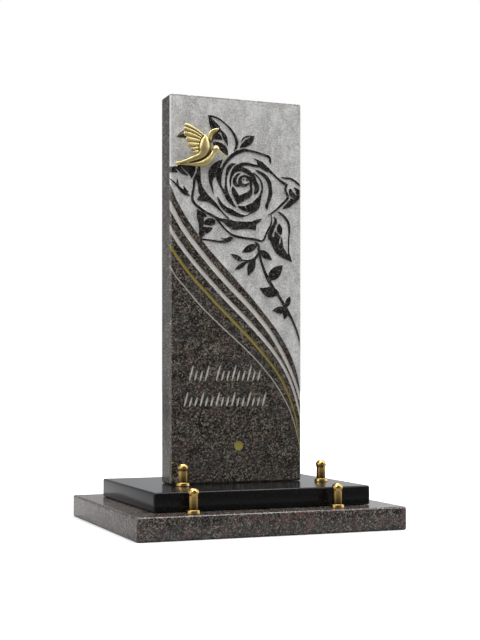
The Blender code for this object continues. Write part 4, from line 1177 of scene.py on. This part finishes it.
@dataclass
class Bird:
    """A hummingbird cast in bronze and gilded, fixed flat on the stele's face.

    Its limbs are fused into one skin by a voxel remesh and smoothed like a casting. Where two limbs meet,
    a crease is cut and painted dark: dark patina and painted shade. The nape and the far wing's underside
    are painted dark all over as shade.
    """

    node: str = "bird"
    stele: Stele = field(default_factory=Stele)
    middle: tuple = (42, 430)
    voxel: float = 0.3 * MM
    softness: float = 0.5
    softenings: int = 5
    crease_width: float = 0.85
    crease_depth: float = 0.4
    # The nape and the far wing's underside, group three, are painted dark as shade, no lighter than this
    # level
    painted_shade_group: int = 3
    patina_and_shade_level: float = 0.75
    mantle: Knots = (
        (44.6, 446, 12, 0.5), (45, 444.6, 12, 1.4), (45.4, 442, 12, 3.2), (45.1, 438.8, 11.5, 5.1),
        (44.7, 433.9, 11, 6.5), (44.1, 428, 10.5, 6.6), (42.6, 423.2, 9.5, 5.2), (38, 418.9, 8.2, 3.8),
        (31.4, 415.8, 7, 3.1), (24.7, 413, 6, 2.4), (18, 410.7, 5.3, 1.7), (12.8, 409.2, 5, 1.5),
        (10.4, 408.6, 4.8, 2.2), (8.4, 407.8, 4.6, 1))
    body: Knots = (
        (61, 429.5, 6.5, 2), (60, 427.4, 6.5, 3.2), (58.4, 424.8, 6.4, 3.5), (56, 420.9, 6.2, 4),
        (52.2, 415.9, 6, 4.7), (47.2, 412.2, 5.8, 4.9), (41.3, 410.1, 5.4, 4), (34.4, 409.1, 4.8, 2.9),
        (27, 408.7, 4.4, 2), (19.1, 408.2, 4, 1.5), (13.2, 407.9, 4, 0.8))
    nape: Knots = (
        (50.8, 438.5, 5.4, 3.8), (50.2, 433.5, 5.4, 5.4), (49.8, 428, 5.2, 6), (48, 422.5, 5.2, 5.6),
        (44, 417.8, 5, 4.6), (39, 414.6, 4.8, 3.4), (33, 412.3, 4.4, 2.4), (26, 410.8, 4.2, 1.5))
    head: Knots = (
        (57.4, 427.2, 6.8, 1.8), (58.9, 428.4, 7.2, 3.7), (61, 429.4, 7.4, 4.5), (63.2, 429.2, 7.2, 3.7),
        (65.2, 428, 6.7, 1.4))
    beak: Knots = (
        (63.5, 429.2, 6.8, 1.6), (66, 427.4, 6.2, 1.15), (71.5, 424.2, 4.8, 0.9), (77.9, 420.2, 2.8, 0.65))
    far_wing: Knots = (
        (52.6, 436, 6.2, 2.4), (52.9, 441, 6.8, 2.8), (53.5, 446, 7.4, 3), (56, 450.6, 8, 2.8),
        (59.8, 453.1, 8.6, 2.2), (62.8, 454.4, 8.8, 1.5), (64.8, 455.2, 9, 0.7))
    # The far wing's underside, which is painted dark as shade
    far_wing_shaded_underside: Knots = (
        (54.4, 437, 5.2, 1.6), (56, 441.5, 5.4, 2.6), (57.6, 445.8, 5.8, 2.8), (60, 449.4, 6.6, 2),
        (62.6, 452.4, 7.4, 0.8))
    mantle_flatness: float = 0.48
    body_flatness: float = 0.8
    head_flatness: float = 0.95
    beak_flatness: float = 1.0
    far_wing_flatness: float = 0.42
    nape_flatness: float = 0.7
    shaded_underside_flatness: float = 0.4
    # Root and tip as (across, up), then the width and how far it arches upwards
    feathers: tuple = (
        ((44.5, 443.6), (16.8, 456.6), 4.6, 2.4),
        ((44.5, 441.6), (15.8, 451.8), 6.2, 2.0),
        ((44, 439.4), (16.4, 446), 7.0, 1.2),
        ((44, 436.8), (19.2, 438.8), 7.4, 0.5),
        ((44, 434), (22, 431.8), 7.2, 0),
        ((43.5, 431), (26, 426.4), 6.2, 0),
        ((43, 428), (29.5, 422.6), 5.2, -0.2),
    )
    root_lift: float = 11.2
    tip_lift: float = 13
    lift_drop: float = 0.4
    feather_flatness: float = 0.36
    feather_sides: int = 16
    beak_sides: int = 12
    blade: tuple = ((0, 0.5), (0.35, 0.7), (0.75, 1), (0.9, 0.98), (0.97, 0.7), (1, 0.15))

    def feather(self, index: int) -> Limb:
        """Makes a feather: narrow at its root, full at three quarters and round at its tip.

        Args:
            index: which one it is, from the top down.

        Returns:
            The feather.
        """
        root, tip, width, arch = self.feathers[index]
        share, fullness = np.array(self.blade).T
        places = np.array(root) + share[:, None] * (np.array(tip) - root)
        lift = self.root_lift + share * (self.tip_lift - self.root_lift) - self.lift_drop * index
        return Limb(np.stack([places[:, 0], places[:, 1] + arch * np.sin(math.pi * share),
                              lift, width / 2 * fullness], 1), self.feather_flatness,
                    self.feather_sides)

    def limbs(self) -> list[list[Limb]]:
        """Makes the limbs, in groups that flow into each other.

        Returns:
            The mantle, the body with its head and beak, the far wing, the nape with the far wing's underside,
            which are painted in shade, and each feather.
        """
        return [[Limb(self.mantle, self.mantle_flatness)],
                [Limb(self.body, self.body_flatness), Limb(self.head, self.head_flatness),
                 Limb(self.beak, self.beak_flatness, self.beak_sides)],
                [Limb(self.far_wing, self.far_wing_flatness)],
                [Limb(self.nape, self.nape_flatness), Limb(self.far_wing_shaded_underside, self.shaded_underside_flatness)],
                *([self.feather(i)] for i in range(len(self.feathers)))]

    def origin(self) -> tuple[float, float, float]:
        """Gives the place of the bird's middle at the height of its back: x, y and z, in metres."""
        x, z = self.stele.to_face(np.array([self.middle], float))[0]
        return x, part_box(self.stele.node)[0][1] - JOINT, z

    def place(self, points: np.ndarray) -> np.ndarray:
        """Puts drawn points in the plaque's frame.

        Args:
            points: rows of (across, up, lift), in millimetres.

        Returns:
            Rows of (x, y, z), in metres.
        """
        x, y, z = self.origin()
        return np.stack([x + (points[:, 0] - self.middle[0]) * MM, y - points[:, 2] * MM,
                         z + (points[:, 1] - self.middle[1]) * MM], 1)

    def unplace(self, points: np.ndarray) -> np.ndarray:
        """Takes points in the plaque's frame back to how they are drawn.

        Args:
            points: rows of (x, y, z), in metres.

        Returns:
            Rows of (across, up, lift), in millimetres.
        """
        x, y, z = self.origin()
        return np.stack([self.middle[0] + (points[:, 0] - x) / MM, self.middle[1] + (points[:, 2] - z) / MM,
                         (y - points[:, 1]) / MM], 1)

    def build(self) -> bpy.types.Object:
        """Makes the casting.

        Returns:
            The piece.
        """
        limbs = self.limbs()
        skins = [limb.skin() for group in limbs for limb in group]
        start = np.cumsum([0] + [len(points) for points, _ in skins])
        faces = [[i + first for i in face] for (_, skin), first in zip(skins, start) for face in skin]
        drawn = np.vstack([points for points, _ in skins])
        piece = new_piece("bird_casting", self.place(drawn), faces, [GILDING.build()])
        remesh = piece.modifiers.new("one skin", "REMESH")
        remesh.mode = "VOXEL"
        remesh.voxel_size = self.voxel
        smooth = piece.modifiers.new("cast softness", "SMOOTH")
        smooth.factor = self.softness
        smooth.iterations = self.softenings
        bake_modifiers(piece)
        self.crease(piece.data, limbs)
        settle(piece, self.node)
        return piece

    def crease(self, mesh: bpy.types.Mesh, limbs: list[list[Limb]]) -> None:
        """Cuts the creases and paints them dark, as patina and painted shade, paints the nape and the far
        wing's underside dark as painted shade, and presses the back flat on the stone.

        A point is in a crease as far as the nearest group of limbs is no nearer than the next one: one
        over e to the power of the difference squared.

        Args:
            mesh: the fused skin.
            limbs: the limbs that it was made from, in groups.
        """
        places = read_points(mesh)
        normals = np.empty(len(mesh.vertices) * 3)
        mesh.vertex_normals.foreach_get("vector", normals)
        drawn = self.unplace(places)
        each = np.array([np.min([limb.distance(drawn) for limb in group], axis=0) for group in limbs])
        near = np.sort(each, axis=0)
        # How deep each point lies in a crease, which is cut and painted dark as patina and painted shade
        patina_and_shade = np.exp(-((near[1] - near[0]) / self.crease_width) ** 2)
        places -= normals.reshape(-1, 3) * patina_and_shade[:, None] * self.crease_depth * MM
        # The nape and the far wing's underside are painted dark as shade
        patina_and_shade = np.where(each.argmin(0) == self.painted_shade_group, patina_and_shade.clip(self.patina_and_shade_level), patina_and_shade)
        places[:, 1] = np.minimum(places[:, 1], self.origin()[1])
        mesh.vertices.foreach_set("co", places.ravel())
        mesh.update()
        mesh.attributes.new("patina_and_shade", "FLOAT", "POINT").data.foreach_set("value", patina_and_shade)
        mesh.shade_smooth()


def read_points(mesh: bpy.types.Mesh) -> np.ndarray:
    """Reads a mesh's points.

    Args:
        mesh: the mesh.

    Returns:
        Its points, one row each.
    """
    places = np.empty(len(mesh.vertices) * 3)
    mesh.vertices.foreach_get("co", places)
    return places.reshape(-1, 3)


def bake_modifiers(piece: bpy.types.Object) -> None:
    """Puts a piece's modifiers into its mesh.

    Args:
        piece: the piece, which is left without modifiers.
    """
    shown = piece.evaluated_get(bpy.context.evaluated_depsgraph_get())
    mesh = bpy.data.meshes.new_from_object(shown)
    piece.modifiers.clear()
    piece.data = mesh


@dataclass
class Studio:
    """The camera, the floor, the lights and what the polished stone mirrors."""

    eye: tuple = (-0.58744, -1.52525, 0.18922)
    turn: float = -21.43
    lens: float = 70.27
    sensor: float = 36
    rise: float = 0.0905
    sight: float = 100
    floor_size: float = 30.0
    paper: float = 0.62
    # Each of these is where a rise starts and ends, and its values there: the mirrored paper's lightness
    # by y in metres, its glow by the distance from the plaque, and the room's light by y and by x of the
    # way looked: behind the camera, on both walls and towards the right
    mirrored_paper: tuple = (-0.55, -0.05, 0.1, 0.34)
    paper_glow: tuple = (0.2, 1.1, 0.12, 1.0)
    dark_end: tuple = (-0.75, -0.1, 0.3, 1.0)
    both_walls: tuple = (0.65, 0.85, 1.0, 2.2)
    right_side: tuple = (0.2, 0.6, 1.0, 2.2)
    # Name, place, what it points at, side in metres and power in watts
    lamps: tuple = (
        ("overhead", (0, 0.1, 2.4), (0, 0, 0.1), 2.2, 86),
        ("left softbox", (-1.5, -1.7, 1.9), (0, 0, 0.3), 1.1, 20),
        ("right softbox", (1.7, -1.3, 1.7), (0, 0, 0.3), 0.9, 12),
        ("left wing softbox", (-2.3, -0.7, 0.9), (0, 0, 0.3), 1.0, 7),
    )

    def build(self) -> None:
        """Makes all of it."""
        scene = bpy.context.scene
        scene.view_settings.view_transform = "Standard"
        camera = bpy.data.objects.new("camera", bpy.data.cameras.new("camera"))
        scene.collection.objects.link(camera)
        camera.location = self.eye
        camera.rotation_euler = (math.pi / 2, 0, math.radians(self.turn))
        camera.data.lens = self.lens
        camera.data.sensor_width = self.sensor
        camera.data.shift_y = self.rise
        camera.data.clip_end = self.sight
        scene.camera = camera
        self.floor()
        self.world()
        for lamp in self.lamps:
            self.lamp(*lamp)

    def floor(self) -> None:
        """Lays a plain pale floor."""
        half = self.floor_size / 2
        corners = np.array([(-half, -half, 0), (half, -half, 0), (half, half, 0), (-half, half, 0)])
        material = bpy.data.materials.new("white_paper_floor")
        material.use_nodes = True
        tree = material.node_tree
        shader = tree.nodes["Principled BSDF"]
        seen = add_node(tree, "LightPath").outputs["Is Camera Ray"]
        place = add_node(tree, "TexCoord").outputs["Object"]
        # The paper dims towards the dark end of the studio, as the polished stone mirrors it
        depth = add_node(tree, "SeparateXYZ", {0: place}).outputs["Y"]
        mirrored = add_node(tree, "MapRange", {0: depth, **dict(enumerate(self.mirrored_paper, 1))})
        paper = add_node(tree, "Mix", {0: seen, 2: mirrored.outputs[0], 3: self.paper})
        tree.links.new(paper.outputs[0], shader.inputs["Base Color"])
        shader.inputs["Roughness"].default_value = 0.9
        shader.inputs["Specular IOR Level"].default_value = 0.0
        # Further out it is lit up to plain white
        away = add_node(tree, "VectorMath", {0: place}, operation="LENGTH").outputs["Value"]
        glow = add_node(tree, "MapRange", {0: away, **dict(enumerate(self.paper_glow, 1))})
        lit = add_node(tree, "Math", {0: glow.outputs[0], 1: seen}, operation="MULTIPLY")
        tree.links.new(lit.outputs[0], shader.inputs["Emission Strength"])
        shader.inputs["Emission Color"].default_value = (1, 1, 1, 1)
        new_piece("floor", corners, [[0, 1, 2, 3]], [material], smooth=False)

    def world(self) -> None:
        """Surrounds the scene with white for the camera, and with a dimmer studio for light and mirrors."""
        world = bpy.data.worlds.new("studio")
        bpy.context.scene.world = world
        world.use_nodes = True
        tree = world.node_tree
        tree.nodes.clear()
        way = add_node(tree, "SeparateXYZ", {0: add_node(tree, "TexCoord").outputs["Generated"]})
        room = add_node(tree, "ValToRGB", {0: way.outputs["Z"]}, stops=(
            (0.0, "b0b1b2"), (0.08, "adaeaf"), (0.25, "8c8d8f"), (0.55, "959698"), (0.9, "ededed")))
        # The studio is dark behind the camera
        depth = add_node(tree, "MapRange", {0: way.outputs["Y"], **dict(enumerate(self.dark_end, 1))})
        # It has white walls on both sides
        aside = add_node(tree, "Math", {0: way.outputs["X"]}, operation="ABSOLUTE")
        walls = add_node(tree, "MapRange", {0: aside.outputs[0], **dict(enumerate(self.both_walls, 1))})
        sides = add_node(tree, "Math", {0: depth.outputs[0], 1: walls.outputs[0]}, operation="MULTIPLY")
        # It is lighter towards the right, which the flat tops mirror
        right = add_node(tree, "MapRange", {0: way.outputs["X"], **dict(enumerate(self.right_side, 1))})
        strength = add_node(tree, "Math", {0: sides.outputs[0], 1: right.outputs[0]}, operation="MULTIPLY")
        dim = add_node(tree, "Background", {0: room.outputs[0], 1: strength.outputs[0]})
        white = add_node(tree, "Background", {0: (1, 1, 1, 1), 1: 1.0})
        seen = add_node(tree, "LightPath").outputs["Is Camera Ray"]
        both = add_node(tree, "MixShader", {0: seen, 1: dim.outputs[0], 2: white.outputs[0]})
        add_node(tree, "OutputWorld", {0: both.outputs[0]})

    def lamp(self, name: str, place: tuple, aim: tuple, size: float, power: float) -> None:
        """Hangs a square soft light.

        Args:
            name: its name.
            place: where it is.
            aim: what it points at.
            size: its side, in metres.
            power: its power, in watts.
        """
        light = bpy.data.lights.new(name, "AREA")
        light.size = size
        light.energy = power
        lamp = bpy.data.objects.new(name, light)
        bpy.context.scene.collection.objects.link(lamp)
        lamp.location = place
        lamp.rotation_euler = (Vector(aim) - Vector(place)).to_track_quat("-Z", "Y").to_euler()


def main() -> None:
    """Builds and dresses the plaque, piece by piece, and then the studio."""
    logging.basicConfig(level=logging.INFO, format="%(name)s: %(message)s")
    Plate("base_slab", "base_plate", "base_granite", BASE_STONE, corner=4 * MM, edge=2.6 * MM).build()
    Plate("plinth_slab", "plinth_plate", "black_granite", BLACK_STONE).build()
    stele = Stele()
    stele.build()
    Bird(stele=stele).build()
    for node in ("base_post_left", "base_post_right", "plinth_post_left", "plinth_post_right"):
        Post(node).build()
    Studio().build()


if __name__ == "__main__":
    main()
